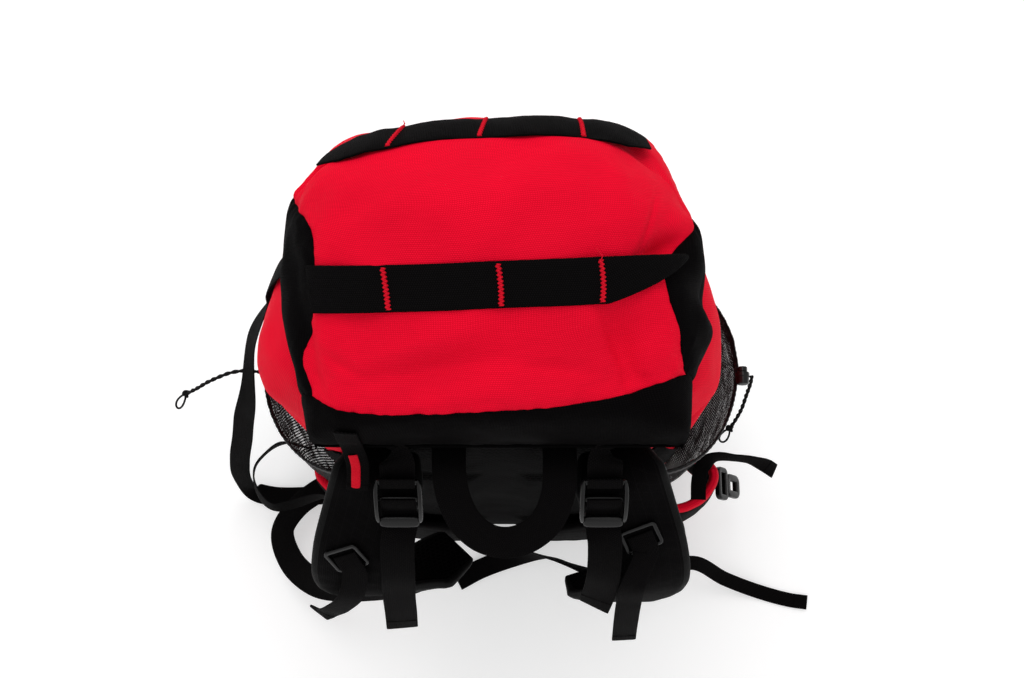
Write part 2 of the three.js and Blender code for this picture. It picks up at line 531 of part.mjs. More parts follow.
// A flat strap of one width, or of a width that changes along it.
function strap(rows, width, thickness, steps) {
  const at = course(rows);
  const widthAt = typeof width === "function" ? width : () => width;
  const [outer, inner] = [[], []];
  for (const edge of [-0.5, 0.5]) {
    const [top, under] = [[], []];
    for (let j = 0; j <= steps; j++) {
      const { point, side, out } = at(j / steps);
      const place = point.clone().addScaledVector(side, edge * widthAt(j / steps));
      top.push(place.clone().addScaledVector(out, thickness / 2));
      under.push(place.clone().addScaledVector(out, -thickness / 2));
    }
    outer.push(top);
    inner.push(under);
  }
  return solidBetween(outer, inner);
}

// A padded strip: rounded sections along a course, closed at both ends by smaller ones.
const PAD_SIDES = 8;
const PAD_CROWN = 0.477; // share of its thickness from a pad's middle to its flat outer face
function padded(rows, widthAt, thicknessAt, steps) {
  const at = course(rows);
  const points = [];
  for (let j = 0; j <= steps; j++) {
    const share = j / steps;
    const { point, side, out } = at(share);
    for (let k = 0; k < PAD_SIDES; k++) {
      const angle = (2 * Math.PI * (k + 0.5)) / PAD_SIDES;
      const [c, s] = [Math.cos(angle), Math.sin(angle)];
      const across = Math.sign(c) * Math.abs(c) ** 0.6 * (widthAt(share) / 2);
      const lift = Math.sign(s) * Math.abs(s) ** 0.6 * (thicknessAt(share) / 2);
      points.push(point.clone().addScaledVector(side, across).addScaledVector(out, lift));
    }
  }
  const faces = [];
  for (let j = 0; j < steps; j++) {
    for (let k = 0; k < PAD_SIDES; k++) {
      const [a, b] = [j * PAD_SIDES + k, j * PAD_SIDES + ((k + 1) % PAD_SIDES)];
      faces.push(a, a + PAD_SIDES, b + PAD_SIDES, a, b + PAD_SIDES, b);
    }
  }
  for (let k = 1; k < PAD_SIDES - 1; k++) {
    const last = steps * PAD_SIDES;
    faces.push(0, k, k + 1, last, last + k + 1, last + k);
  }
  return geometryOf(points, faces);
}

// A row of a table of places round the bag: across, deep and up are shares of its half width, half
// depth and height, and x, y and z the way that the face looks there.
function free({ across, deep, up, x, y, z }) {
  return { point: vector(across * HALF_WIDTH, deep * HALF_DEPTH, up * BODY_HEIGHT), face: vector(x, y, z) };
}

// A place on the outside of the bag, lifted off it, with the face looking away from it.
function onBody(turn, rise, lift) {
  return { point: lifted(bodyPoint, turn, rise, lift), face: outward(bodyPoint, turn, rise) };
}

// A place beside the middle of a course, for what lies on its outer face or, with a negative lift,
// on its inner one.
function beside(rows, share, lift) {
  const { point, out } = course(rows)(share);
  return { point: point.clone().addScaledVector(out, lift), face: out };
}

// A rounded rectangle with windows, extruded: the frame of a buckle. Windows are rows of
// { width, length, at } with at their middle along the frame's length.
function frameOf(width, length, thickness, corner, windows) {
  const rounded = (path, w, l, y, r) => {
    path.moveTo(-w / 2 + r, y - l / 2);
    path.lineTo(w / 2 - r, y - l / 2);
    path.absarc(w / 2 - r, y - l / 2 + r, r, -Math.PI / 2, 0, false);
    path.lineTo(w / 2, y + l / 2 - r);
    path.absarc(w / 2 - r, y + l / 2 - r, r, 0, Math.PI / 2, false);
    path.lineTo(-w / 2 + r, y + l / 2);
    path.absarc(-w / 2 + r, y + l / 2 - r, r, Math.PI / 2, Math.PI, false);
    path.lineTo(-w / 2, y - l / 2 + r);
    path.absarc(-w / 2 + r, y - l / 2 + r, r, Math.PI, 1.5 * Math.PI, false);
    return path;
  };
  const shape = rounded(new THREE.Shape(), width, length, 0, corner);
  for (const hole of windows) {
    shape.holes.push(rounded(new THREE.Path(), hole.width, hole.length, hole.at, corner / 3));
  }
  const geometry = new THREE.ExtrudeGeometry(shape, { depth: thickness, bevelEnabled: false, curveSegments: 2 });
  return geometry.translate(0, 0, -thickness / 2);
}

// Puts a piece made flat in X and Y where its width and its outer face have the given directions.
function placed(geometry, point, side, out) {
  const x = side.clone().addScaledVector(out, -side.dot(out)).normalize();
  const z = out.clone().normalize();
  const basis = new THREE.Matrix4().makeBasis(x, z.clone().cross(x), z).setPosition(point);
  return geometry.applyMatrix4(basis);
}

// Joins closed geometries into one.
function joined(...parts) {
  const solids = parts.map((part) => {
    const source = part.index ? part.toNonIndexed() : part;
    const keys = new Map();
    const [vertices, triangles] = [[], []];
    const position = source.getAttribute("position");
    for (let i = 0; i < position.count; i++) {
      const p = [position.getX(i), position.getY(i), position.getZ(i)];
      const key = p.map((value) => value.toFixed(4)).join();
      if (!keys.has(key)) {
        keys.set(key, vertices.length / 3);
        vertices.push(...p);
      }
      triangles.push(keys.get(key));
    }
    return new wasm.Manifold(
      new wasm.Mesh({
        numProp: 3,
        vertProperties: new Float32Array(vertices),
        triVerts: new Uint32Array(dropEmpty(triangles)),
      }),
    );
  });
  const mesh = solids.reduce((whole, solid) => whole.add(solid)).getMesh();
  const geometry = new THREE.BufferGeometry();
  geometry.setAttribute("position", new THREE.Float32BufferAttribute(mesh.vertProperties, 3));
  geometry.setIndex([...mesh.triVerts]);
  return geometry;
}

function dropEmpty(triangles) {
  const kept = [];
  for (let i = 0; i < triangles.length; i += 3) {
    const [a, b, c] = triangles.slice(i, i + 3);
    if (a !== b && b !== c && a !== c) kept.push(a, b, c);
  }
  return kept;
}

// The body of the bag: base, four panels and the gathered collar
function addBody() {
  const steps = 48;
  const [outer, inner] = [[], []];
  for (let i = 0; i < steps; i++) {
    const edge = bodyPoint(i / steps, 0);
    outer.push(vector(edge.x, edge.y, BASE_CLOTH));
    inner.push(vector(edge.x, edge.y, 0));
  }
  const points = [...outer, ...inner, vector(0, 0, BASE_CLOTH), vector(0, 0, 0)];
  const faces = [];
  for (let i = 0; i < steps; i++) {
    const next = (i + 1) % steps;
    faces.push(i, next, 2 * steps, steps + next, steps + i, 2 * steps + 1);
    faces.push(i, steps + i, steps + next, i, steps + next, next);
  }
  add("base_panel", "black", geometryOf(points, faces));

  const span = (from, to) => (s, t) => [lerp(from, to, s), t];
  const { rightBack, rightFront, leftFront, leftBack } = SEAMS;
  const rises = evenShares(12);
  const floor = BASE_CLOTH + SEAM_GAP;
  const wall = (name, finish, from, to, steps, lift) =>
    add(name, finish, panel(bodyPoint, span(from, to), evenShares(steps), rises, -CLOTH, lift, floor));
  wall("front_panel", "red", rightFront, leftFront, 10, 0);
  wall("side_panel_right", "red", rightBack, rightFront, 10, 0);
  wall("side_panel_left", "red", leftFront, leftBack, 10, 0);
  const padGap = PAD_GAP / (Math.PI * BODY_WIDTH);
  wall("back_panel", "mesh", leftBack + padGap, 1 + rightBack - padGap, 8, BACK_PAD - CLOTH);

  const collar = (turn, share) => {
    const rim = bodyPoint(turn, 1);
    const angle = 2 * Math.PI * turn;
    const out = vector(Math.cos(angle), Math.sin(angle), 0);
    const throat = vector((THROAT_WIDTH / 2) * Math.cos(angle), (THROAT_DEPTH / 2) * Math.sin(angle), 0);
    const gather = GATHER_DEPTH * Math.sin(Math.PI * share) * Math.cos(GATHERS * angle);
    const point = rim.clone().setZ(0).lerp(throat, share ** 0.8).addScaledVector(out, -CLOTH * (1 - share));
    return point.setZ(lerp(BODY_HEIGHT + CLOTH + SEAM_GAP, BODY_HEIGHT + COLLAR_HEIGHT, share ** 1.3) + gather);
  };
  const round = (s, t) => [0.25 + s, t];
  add("collar", "black", panel(collar, round, evenShares(3 * GATHERS), evenShares(2), -CLOTH, 0));
}

// The lid: red top, gussets at its sides, bands at its back and front, underside and two strips
function addLid() {
  const seam = (over, side) => columnAt(LID_SECTIONS, side < 0 ? "seamLeft" : "seamRight", over);
  const bandTop = (side) => columnAt(BACK_SEAM, "over", (side + 1) / 2);
  const top = (s, t) => {
    const over = lerp(BAND_TOP, FRONT_BAND, t);
    const across = lerp(-1, 1, s);
    const side = across * seam(over, across);
    return [side, over + (bandTop(side) - BAND_TOP) * (1 - t) ** 3];
  };
  const [across, along, down] = [evenShares(14), evenShares(14), evenShares(4)];
  add("lid_top_panel", "red", panel(lidPoint, top, across, along, -CLOTH, 0, LID_BASE, 2 * SEAM_GAP));

  const sidesAt = (over) => [
    ...down.map((s) => lerp(-1, -seam(over, -1), s)),
    ...across.slice(1, -1).map((s) => lerp(-1, 1, s) * seam(over, lerp(-1, 1, s))),
    ...down.map((s) => lerp(seam(over, 1), 1, s)),
  ];
  const backBand = (side, t) => [side, lerp(0, bandTop(side), t)];
  add("lid_back_band", "black", panel(lidPoint, backBand, sidesAt(BAND_TOP), evenShares(2), -CLOTH, 0, LID_BASE, 2 * SEAM_GAP));
  const frontBand = (side, t) => [side, lerp(FRONT_BAND, 1, t)];
  add("lid_front_band", "black", panel(lidPoint, frontBand, sidesAt(FRONT_BAND), evenShares(2), -CLOTH, 0, LID_BASE, 2 * SEAM_GAP));

  const gusset = (hand) => (s, t) => {
    const over = lerp(BAND_TOP, FRONT_BAND, t);
    const inner = hand * seam(over, hand);
    const side = hand < 0 ? lerp(-1, inner, s) : lerp(inner, 1, s);
    return [side, over + (bandTop(side) - BAND_TOP) * (1 - t) ** 3];
  };
  add("lid_gusset_left", "black", panel(lidPoint, gusset(-1), down, along, -CLOTH, 0, LID_BASE, 2 * SEAM_GAP));
  add("lid_gusset_right", "black", panel(lidPoint, gusset(1), down, along, -CLOTH, 0, LID_BASE, 2 * SEAM_GAP));

  const under = (side, over) => {
    const [left, right] = [lidPoint(-1, over), lidPoint(1, over)];
    const edge = left.lerp(right, (side + 1) / 2);
    const dome = Math.min(1, 6 * (1 - Math.abs(side)), 8 * Math.max(Math.min(over, 1 - over) - 0.125, 0));
    return vector(edge.x, edge.y, LID_BASE - 2 * SEAM_GAP + dome * (LID_DROP + CLOTH + 3 * SEAM_GAP));
  };
  const whole = (s, t) => [lerp(-1, 1, s), t];
  add("lid_underside", "black", panel(under, whole, evenShares(8), evenShares(8), -CLOTH, 0));

  const strip = ({ from, to, middle, bow, slant, first, last, reach, cut }) => (s, t) => {
    const side = lerp(from, to, s);
    const along = 2 * s - 1;
    const over = middle + bow * along ** 2 + slant * along;
    const narrowed = Math.min(1, lerp(first, 1, 8 * s), lerp(last, 1, (1 - s) / reach));
    const offset = (t - 0.5) * narrowed + (cut * (1 - narrowed)) / 2;
    return [side, over + (DAISY_WIDTH * offset) / slopeUp(flatLid, side, middle).length()];
  };
  const low = LAID_GAP;
  const [near, far] = [strip(NEAR_STRIP), strip(FAR_STRIP)];
  add("daisy_strip_near", "webbing", panel(flatLid, near, across, evenShares(1), low, low + WEBBING));
  add("daisy_strip_far", "webbing", panel(flatLid, far, across, evenShares(2), low, low + WEBBING));
}

// The outside of a mesh pocket at shares along its hem and up it
function pocketPoint(hand, s, t) {
  const [from, to] = POCKET_EDGES[hand];
  const toFront = hand === "right" ? s : 1 - s;
  const rise = lerp(POCKET_FOOT, lerp(POCKET_BACK, POCKET_FRONT, toFront), t);
  const filled = Math.max(Math.sin(Math.PI * toFront ** POCKET_SLANT), 0) ** 0.8;
  const stand = POCKET_BULGE * filled * Math.sin((Math.PI / 2) * Math.min(1.2 * t, 1)) ** 1.4;
  return lifted(bodyPoint, lerp(from, to, s), rise, stand + LAID_GAP + SEAM_GAP + POCKET_CLOTH);
}

// The open-topped mesh pockets and the small tabs above their back corners
function addPockets() {
  for (const hand of ["left", "right"]) {
    const surface = (s, t) => pocketPoint(hand, s, t);
    const place = (s, t) => [lerp(0.01, 0.99, s), t];
    add(`mesh_pocket_${hand}`, "mesh", panel(surface, place, evenShares(10), evenShares(6), -POCKET_CLOTH, 0));

    const seam = hand === "right" ? SEAMS.rightBack + 0.006 : SEAMS.leftBack - 0.006;
    const reach = hand === "right" ? TAB_REACH : -TAB_REACH;
    const tab = (s, t) => {
      const tip = seam + reach * (1 - 0.85 * t);
      return [hand === "right" ? lerp(seam, tip, s) : lerp(tip, seam, s), lerp(POCKET_BACK + 0.02, TAB_TOP, t)];
    };
    const tabLift = LAID_GAP + SEAM_GAP;
    add(`side_tab_${hand}`, "black", panel(bodyPoint, tab, evenShares(2), evenShares(3), tabLift, tabLift + CLOTH));
  }
}

function rowsOf(table) {
  return table.map(free);
}

// The shoulder pads, the loop between them and everything that hangs on them
function addHarness() {
  add("haul_loop", "webbing", strap(rowsOf(HAUL_ROUTE), HAUL_WIDTH, WEBBING, 22));
  const narrowing = (share) => PAD_WIDTH * Math.min(1, 0.72 + 2 * share, 0.62 + 3.8 * (1 - share));
  const flattening = (share) => PAD_THICKNESS * Math.min(1, 0.7 + 4 * share, 0.5 + 5 * (1 - share));
  add("shoulder_pad_left", "black", padded(rowsOf(LEFT_PAD_ROUTE), narrowing, flattening, 18));
  add("shoulder_pad_right", "black", padded(rowsOf(RIGHT_PAD_ROUTE), narrowing, flattening, 18));
  addLifter("left", LEFT_TAIL_ROUTE, 0.64);
  addLifter("right", RIGHT_TAIL_ROUTE, 0.8605);
  addRing("left", LEFT_PAD_ROUTE, { share: 0.42, across: 0.1, turn: 0.7 }, LEFT_STERNUM_ROUTE);
  addRing("right", RIGHT_PAD_ROUTE, { share: 0.36, across: -0.02, turn: 0.1 }, RIGHT_STERNUM_ROUTE);
  add("lower_strap_left", "webbing", strap(rowsOf(LEFT_LOWER_ROUTE), LOWER_WIDTH, WEBBING, 24));
  add("lower_strap_right", "webbing", strap(rowsOf(RIGHT_LOWER_ROUTE), LOWER_WIDTH, WEBBING, 16));
  const carrier = rowsOf(RIGHT_LOWER_ROUTE);
  const laid = WEBBING + SEAM_GAP;
  const floorTail = [beside(carrier, 0.5, laid), ...rowsOf(FLOOR_TAIL_ROUTE)];
  const centreTail = [beside(carrier, 0.03, -laid), ...rowsOf(CENTRE_TAIL_ROUTE)];
  add("floor_strap_right", "webbing", strap(floorTail, TAIL_WIDTH, WEBBING, 14));
  add("floor_strap_centre", "webbing", strap(centreTail, STERNUM_WIDTH, WEBBING, 14));
}

// A load lifter: a loop of webbing from the bag through the top of the ladder lock, the lock, and
// the strap that comes up through its lower window and hangs from it.
function addLifter(hand, tailRoute, turn) {
  const tail = rowsOf(tailRoute);
  const down = vector(0, -0.634, -0.774);
  const out = vector(0, -0.774, 0.634);
  const top = tail[0].point.clone().addScaledVector(down, -LOCK_LENGTH + 2 * LOCK_BAR);
  const at = (along, lift) => ({
    point: top.clone().addScaledVector(down, along).addScaledVector(out, lift),
    face: out.clone(),
  });
  const windowLength = (LOCK_LENGTH - 4 * LOCK_BAR) / 2;
  const windowWidth = LOCK_WIDTH - 7;
  const windows = [
    { width: windowWidth, length: windowLength, at: LOCK_LENGTH / 2 - LOCK_BAR - windowLength / 2 },
    { width: windowWidth, length: windowLength, at: LOCK_LENGTH / 2 - 2 * LOCK_BAR - 1.5 * windowLength },
  ];
  const lock = frameOf(LOCK_WIDTH, LOCK_LENGTH, LOCK_THICKNESS, 4, windows);
  const middle = at(LOCK_LENGTH / 2, 0).point;
  add(`ladder_lock_${hand}`, "plastic", placed(lock, middle, vector(1, 0, 0), out));

  const clear = LOCK_THICKNESS / 2 + WEBBING / 2 + SEAM_GAP;
  const fold = [
    { along: -14, lift: -clear },
    { along: -2, lift: -clear },
    { along: LOCK_BAR + 1, lift: -clear * 0.85 },
    { along: LOCK_BAR + 1.6, lift: 0 },
    { along: LOCK_BAR + 1, lift: clear * 0.85 },
    { along: LOCK_BAR / 2, lift: clear },
    { along: -3, lift: clear },
  ];
  const loop = fold.map((row) => at(row.along, row.lift));
  loop.forEach((row, i) => {
    const before = loop[Math.max(i - 1, 0)].point;
    const after = loop[Math.min(i + 1, loop.length - 1)].point;
    row.face = vector(1, 0, 0).cross(after.clone().sub(before)).normalize();
  });
  const sewn = onBody(turn, 1, BACK_PAD);
  sewn.point.add(vector(0, 0, LAID_GAP));
  sewn.face = vector(0, 0, 1);
  add(`load_lifter_${hand}`, "webbing", strap([sewn, ...loop], LIFTER_WIDTH - 2, WEBBING, 18));

  const under = LOCK_LENGTH - LOCK_BAR / 2;
  const window = LOCK_BAR * 2 + windowLength;
  const start = [
    at(window - LOCK_BAR, clear),
    at(window, clear),
    at(window + windowLength / 2, 0),
    at(window + windowLength, -clear),
    at(under, -clear),
    at(LOCK_LENGTH + LOCK_BAR, -clear),
  ];
  add(`lifter_tail_${hand}`, "webbing", strap([...start, ...tail.slice(1)], LIFTER_WIDTH - 2, WEBBING, 22));
}

// The slider ring that rides on a shoulder pad, and the chest strap that comes out through it
function addRing(hand, padRoute, { share, across, turn }, tailRoute) {
  const { point, side, out } = course(rowsOf(padRoute))(share);
  const ring = frameOf(RING_WIDTH, RING_LENGTH, RING_THICKNESS, 4, [
    { width: RING_WIDTH - 2 * RING_BAR, length: RING_LENGTH - 2 * RING_BAR, at: 0 },
  ]);
  const lift = PAD_CROWN * PAD_THICKNESS + SEAM_GAP + RING_THICKNESS / 2;
  const middle = point.clone().addScaledVector(side, across * PAD_WIDTH).addScaledVector(out, lift);
  const turned = side.clone().applyAxisAngle(out, turn);
  add(`slider_ring_${hand}`, "plastic", placed(ring, middle, turned, out));
  const down = out.clone().cross(turned);
  const at = (along, rise) => ({
    point: middle.clone().addScaledVector(down, along).addScaledVector(out, rise),
    face: out,
  });
  const over = RING_THICKNESS / 2 + WEBBING / 2 + 2 * SEAM_GAP;
  const end = RING_LENGTH / 2;
  const rows = [at(-end / 3, 0), at(end / 4, over * 0.55), at(end - RING_BAR, over), at(end, over)];
  add(`sternum_strap_${hand}`, "webbing", strap([...rows, ...rowsOf(tailRoute)], STERNUM_WIDTH, WEBBING, 14));
}

// The hip belt: two wings, the straps on them and the plain buckle on the right
function addHipBelt() {
  const lift = BACK_PAD - CLOTH + LAID_GAP + HIP_THICKNESS / 2;
  const hug = ({ turn, off }) => onBody(turn, HIP_MIDDLE + 0.02, lift + off * HALF_DEPTH);
  const flat = (rows) => rows.map((row) => ({ point: row.point.setZ(HIP_MIDDLE * BODY_HEIGHT), face: row.face.setZ(0) }));
  const height = (share) => HIP_HEIGHT * Math.min(1, 0.75 + share, 0.55 + 2.2 * (1 - share));
  const thickness = (share) => HIP_THICKNESS * Math.min(1, 0.6 + 5 * share, 0.55 + 5 * (1 - share));
  const left = flat(LEFT_WING.map(hug)).reverse();
  add("hip_wing_left", "black", padded(left, height, thickness, 14));
  const right = [...flat(RIGHT_WING.map(hug)), ...rowsOf(RIGHT_WING_ROUTE)];
  add("hip_wing_right", "black", padded(right, height, thickness, 18));
  const onWing = [0.11, 0.2].map((share) => beside(left, share, HIP_THICKNESS / 2 + WEBBING + LAID_GAP));
  onWing.forEach((row) => row.point.setZ(HIP_MIDDLE * BODY_HEIGHT - HIP_STRAP_WIDTH));
  const loop = [...rowsOf(HIP_LOOP_ROUTE), ...onWing];
  add("hip_strap_left", "webbing", strap(loop, HIP_STRAP_WIDTH, WEBBING, 20));
  add("hip_tail_right", "webbing", strap(rowsOf(HIP_TAIL_ROUTE), TAIL_WIDTH, WEBBING, 18));
  const buckle = frameOf(HIP_BUCKLE_WIDTH, HIP_BUCKLE_LENGTH, HIP_BUCKLE_THICKNESS, HIP_BUCKLE_RAIL, [
    { width: HIP_BUCKLE_WIDTH - 2 * HIP_BUCKLE_RAIL, length: HIP_BUCKLE_SLOT, at: HIP_BUCKLE_LENGTH / 2 - HIP_BUCKLE_RAIL - 1 },
    { width: HIP_BUCKLE_HOLE, length: HIP_BUCKLE_HOLE, at: HIP_BUCKLE_HOLE + 3 - HIP_BUCKLE_LENGTH / 2 },
  ]);
  const leans = (HIP_BUCKLE_LENGTH * Math.sin(HIP_BUCKLE_LEAN) + HIP_BUCKLE_THICKNESS * Math.cos(HIP_BUCKLE_LEAN)) / 2;
  const seat = beside(right, HIP_BUCKLE_SHARE, HIP_THICKNESS / 2 + leans - 0.1);
  seat.point.z -= HIP_BUCKLE_DROP;
  const looks = vector(Math.cos(HIP_BUCKLE_LEAN), 0, Math.sin(HIP_BUCKLE_LEAN));
  add("hip_buckle_right", "plastic", placed(buckle, seat.point, vector(0, 1, 0), looks));
}

// The straps that hold the lid down, and the strap that hangs from the left side
function addStraps() {
  const lift = LAID_GAP + WEBBING / 2;
  for (const [hand, side, turn] of [
    ["left", -0.34, 0.339],
    ["right", 0.34, 0.161],
  ]) {
    const onLid = (over) => ({ point: lifted(flatLid, side, over, lift), face: outward(flatLid, side, over) });
    const edge = onLid(0.98);
    edge.point.set(edge.point.x, LID_DEPTH - LID_SET_BACK + 5 * LAID_GAP, LID_BASE - LID_DROP);
    const rows = [onLid(0.91), onLid(0.945), edge];
    rows.push(onBody(turn, 0.86, 2 * lift), onBody(turn, 0.76, 1.4 * lift), onBody(turn, 0.66, 0.8 * lift));
    add(`lid_strap_${hand}`, "webbing", strap(rows, LID_STRAP_WIDTH, WEBBING, 20));
    const seat = onBody(turn, 0.78, 3 * lift + BUCKLE_THICKNESS / 2 + SEAM_GAP);
    const buckle = frameOf(BUCKLE_WIDTH, BUCKLE_LENGTH, BUCKLE_THICKNESS, 5, []);
    add(`lid_buckle_${hand}`, "plastic", placed(buckle, seat.point, vector(1, 0, 0), seat.face));
  }
  const onBand = (over) => ({ point: lifted(flatLid, -0.5, over, lift), face: outward(flatLid, -0.5, over) });
  const anchor = [onBand(0.11), onBand(0.07), onBand(0.03), ...rowsOf(LID_ANCHOR_ROUTE)];
  add("lid_anchor_strap", "webbing", strap(anchor, LID_STRAP_WIDTH - 3, WEBBING, 16));
  const sewn = [onBody(0.467, 0.93, 0.6 * lift), onBody(0.47, 0.86, 2 * lift), onBody(0.474, 0.77, 2 * lift)];
  const sideStrap = [...sewn, onBody(0.476, 0.7, 4 * lift), ...rowsOf(SIDE_STRAP_ROUTE)];
  add("side_strap_left", "webbing", strap(sideStrap, SIDE_STRAP_WIDTH, WEBBING, 22));
}

// The elastic cords of the pocket hems, each with its knot and the eye behind it, and the cord lock
function addCords() {
  const round = new THREE.Shape().absarc(0, 0, CORD_DIAMETER / 2, 0, 2 * Math.PI, false);
  const from = (hand, offset) => pocketPoint(hand, 0.5, 1).add(vector(...offset));
  for (const [hand, offsets, knotOffset, eyeOffset] of [
    ["left", LEFT_CORD, LEFT_KNOT, LEFT_EYE],
    ["right", RIGHT_CORD, RIGHT_KNOT, RIGHT_EYE],
  ]) {
    const knotAt = from(hand, knotOffset);
    const path = new THREE.CatmullRomCurve3([...offsets.map((offset) => from(hand, offset)), knotAt]);
    const steps = Math.ceil(path.getLength() / (2.5 * CORD_DIAMETER));
    const cord = new THREE.ExtrudeGeometry(round, { steps, extrudePath: path, curveSegments: 4 });
    const knot = new THREE.SphereGeometry(KNOT_DIAMETER / 2, 6, 4).translate(knotAt.x, knotAt.y, knotAt.z);
    const reach = from(hand, eyeOffset).sub(knotAt);
    const eye = new THREE.TorusGeometry(END_LOOP_LENGTH / 4, CORD_DIAMETER / 4, 4, 8).scale(1, 2, 1);
    const middle = knotAt.clone().addScaledVector(reach.clone().normalize(), KNOT_DIAMETER / 4 + END_LOOP_LENGTH / 2);
    const across = reach.clone().cross(vector(0, 0, 1));
    add(`pocket_cord_${hand}`, "elastic", joined(cord, knot, placed(eye, middle, across, across.clone().cross(reach))));
  }
  const lock = new THREE.CylinderGeometry(CORD_LOCK_DIAMETER / 2, CORD_LOCK_DIAMETER / 2, CORD_LOCK_LENGTH, 12);
  const lockAt = from("right", RIGHT_CORD_LOCK);
  add("cord_lock_right", "plastic", lock.rotateX(Math.PI / 2).translate(lockAt.x, lockAt.y, lockAt.z));
}

addBody();
addLid();
addPockets();
addHarness();
addHipBelt();
addStraps();
addCords();

export default pack;
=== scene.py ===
"""Looks of a hiking backpack that stands upright, its harness towards the camera.

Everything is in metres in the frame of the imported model: X to the right, Y from the harness to
the front of the bag, Z up, with the origin on the floor under the middle of the bag.
"""

from __future__ import annotations

import logging
import math
from collections.abc import Callable, Sequence
from dataclasses import dataclass
from enum import Enum

import bpy
import numpy as np
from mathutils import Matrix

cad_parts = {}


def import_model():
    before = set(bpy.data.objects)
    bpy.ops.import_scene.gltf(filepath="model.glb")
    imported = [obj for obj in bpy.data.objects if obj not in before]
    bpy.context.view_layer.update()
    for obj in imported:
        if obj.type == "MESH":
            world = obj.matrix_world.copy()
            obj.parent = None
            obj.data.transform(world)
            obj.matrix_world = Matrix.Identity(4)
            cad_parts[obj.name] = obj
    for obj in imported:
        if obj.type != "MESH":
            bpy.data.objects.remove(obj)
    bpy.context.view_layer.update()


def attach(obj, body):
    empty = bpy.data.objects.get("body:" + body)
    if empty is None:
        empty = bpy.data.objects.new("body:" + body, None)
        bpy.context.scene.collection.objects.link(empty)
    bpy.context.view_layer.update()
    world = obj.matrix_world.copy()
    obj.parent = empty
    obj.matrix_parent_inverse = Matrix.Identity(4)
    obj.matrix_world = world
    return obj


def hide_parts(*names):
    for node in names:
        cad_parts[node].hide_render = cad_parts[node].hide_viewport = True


LOG = logging.getLogger("backpack")

Grid = np.ndarray
Surface = Callable[[Grid, Grid], Grid]

MM = 0.001

# Sizes of the bag and the lid
BODY_HEIGHT = 470 * MM
BODY_WIDTH = 384 * MM
BODY_DEPTH = 232 * MM
COLLAR_HEIGHT = 30 * MM
THROAT_WIDTH = 150 * MM
THROAT_DEPTH = 92 * MM
GATHERS = 14
GATHER_DEPTH = 5 * MM
LID_WIDTH = 316 * MM
LID_DEPTH = 242 * MM
LID_DROP = 14 * MM
LID_HEIGHT = 140 * MM
LID_SET_BACK = 130 * MM
LID_TWIST = 0.055
LID_TUCK = 0.05
LID_ROUND = 0.78
BAND_TOP = 0.14
FRONT_BAND = 0.9
POCKET_BULGE = 46 * MM
POCKET_SLANT = 1.1
POCKET_FOOT = 0.07
POCKET_BACK = 0.48
POCKET_FRONT = 0.53
TAB_TOP = 0.67
TAB_REACH = 0.035

# Thicknesses and gaps
CLOTH = 1.6 * MM
BASE_CLOTH = 3 * MM
BACK_PAD = 8 * MM
POCKET_CLOTH = 1.2 * MM
WEBBING = 1.6 * MM
SEAM_GAP = 0.3 * MM
LAID_GAP = 0.9 * MM

# Harness and hardware
DAISY_WIDTH = 31 * MM
LIFTER_WIDTH = 29 * MM
HAUL_WIDTH = 26 * MM
PAD_WIDTH = 72 * MM
PAD_THICKNESS = 13 * MM
STERNUM_WIDTH = 21 * MM
LOWER_WIDTH = 28 * MM
SIDE_STRAP_WIDTH = 21 * MM
LID_STRAP_WIDTH = 20 * MM
HIP_STRAP_WIDTH = 25 * MM
TAIL_WIDTH = 15 * MM
HIP_HEIGHT = 92 * MM
HIP_THICKNESS = 12 * MM
HIP_MIDDLE = 0.19
LOCK_WIDTH = 37 * MM
LOCK_LENGTH = 44 * MM
LOCK_THICKNESS = 4.5 * MM
LOCK_BAR = 5 * MM
RING_WIDTH = 31 * MM
RING_LENGTH = 25 * MM
RING_THICKNESS = 3 * MM
RING_BAR = 3.2 * MM
BUCKLE_WIDTH = 30 * MM
BUCKLE_LENGTH = 46 * MM
BUCKLE_THICKNESS = 8 * MM
HIP_BUCKLE_WIDTH = 34 * MM
HIP_BUCKLE_LENGTH = 44 * MM
HIP_BUCKLE_THICKNESS = 7 * MM
CORD_DIAMETER = 4 * MM
CORD_LOCK_DIAMETER = 13 * MM
CORD_LOCK_LENGTH = 17 * MM
KNOT_DIAMETER = 8.5 * MM
END_LOOP_LENGTH = 19 * MM
PAD_CROWN = 0.477

LID_BASE = BODY_HEIGHT + COLLAR_HEIGHT + CLOTH - LID_DROP
HALF_WIDTH = BODY_WIDTH / 2
HALF_DEPTH = BODY_DEPTH / 2
SEAM_RIGHT_BACK = -0.108
SEAM_RIGHT_FRONT = 0.112
SEAM_LEFT_FRONT = 0.388
SEAM_LEFT_BACK = 0.608


@dataclass(frozen=True)
class Table:
    """Rows of named columns, evenly spaced from 0 to 1."""

    names: tuple[str, ...]
    rows: tuple[tuple[float, ...], ...]

    def column(self, name: str) -> Grid:
        """The values of one column as an array."""
        return np.array(self.rows, float)[:, self.names.index(name)]

    def at(self, name: str, share: Grid) -> Grid:
        """A smooth curve through one column.

        The value between two rows is the cubic with the rows' values and the mean slopes of
        their neighbours.

        Args:
            name: the column.
            share: places along the table, 0 to 1.

        Returns:
            The column's value at each place.
        """
        values = self.column(name)
        last = len(values) - 1
        place = np.clip(np.asarray(share, float), 0, 1) * last
        row = np.minimum(place.astype(int), last - 1)
        t = place - row
        before, low, high, after = (values[np.clip(row + k, 0, last)] for k in (-1, 0, 1, 2))
        slope_low = (high - before) / 2
        slope_high = (after - low) / 2
        rest = 3 * (high - low) - 2 * slope_low - slope_high
        return low + t * (slope_low + t * (rest + t * (slope_low + slope_high - 2 * (high - low))))


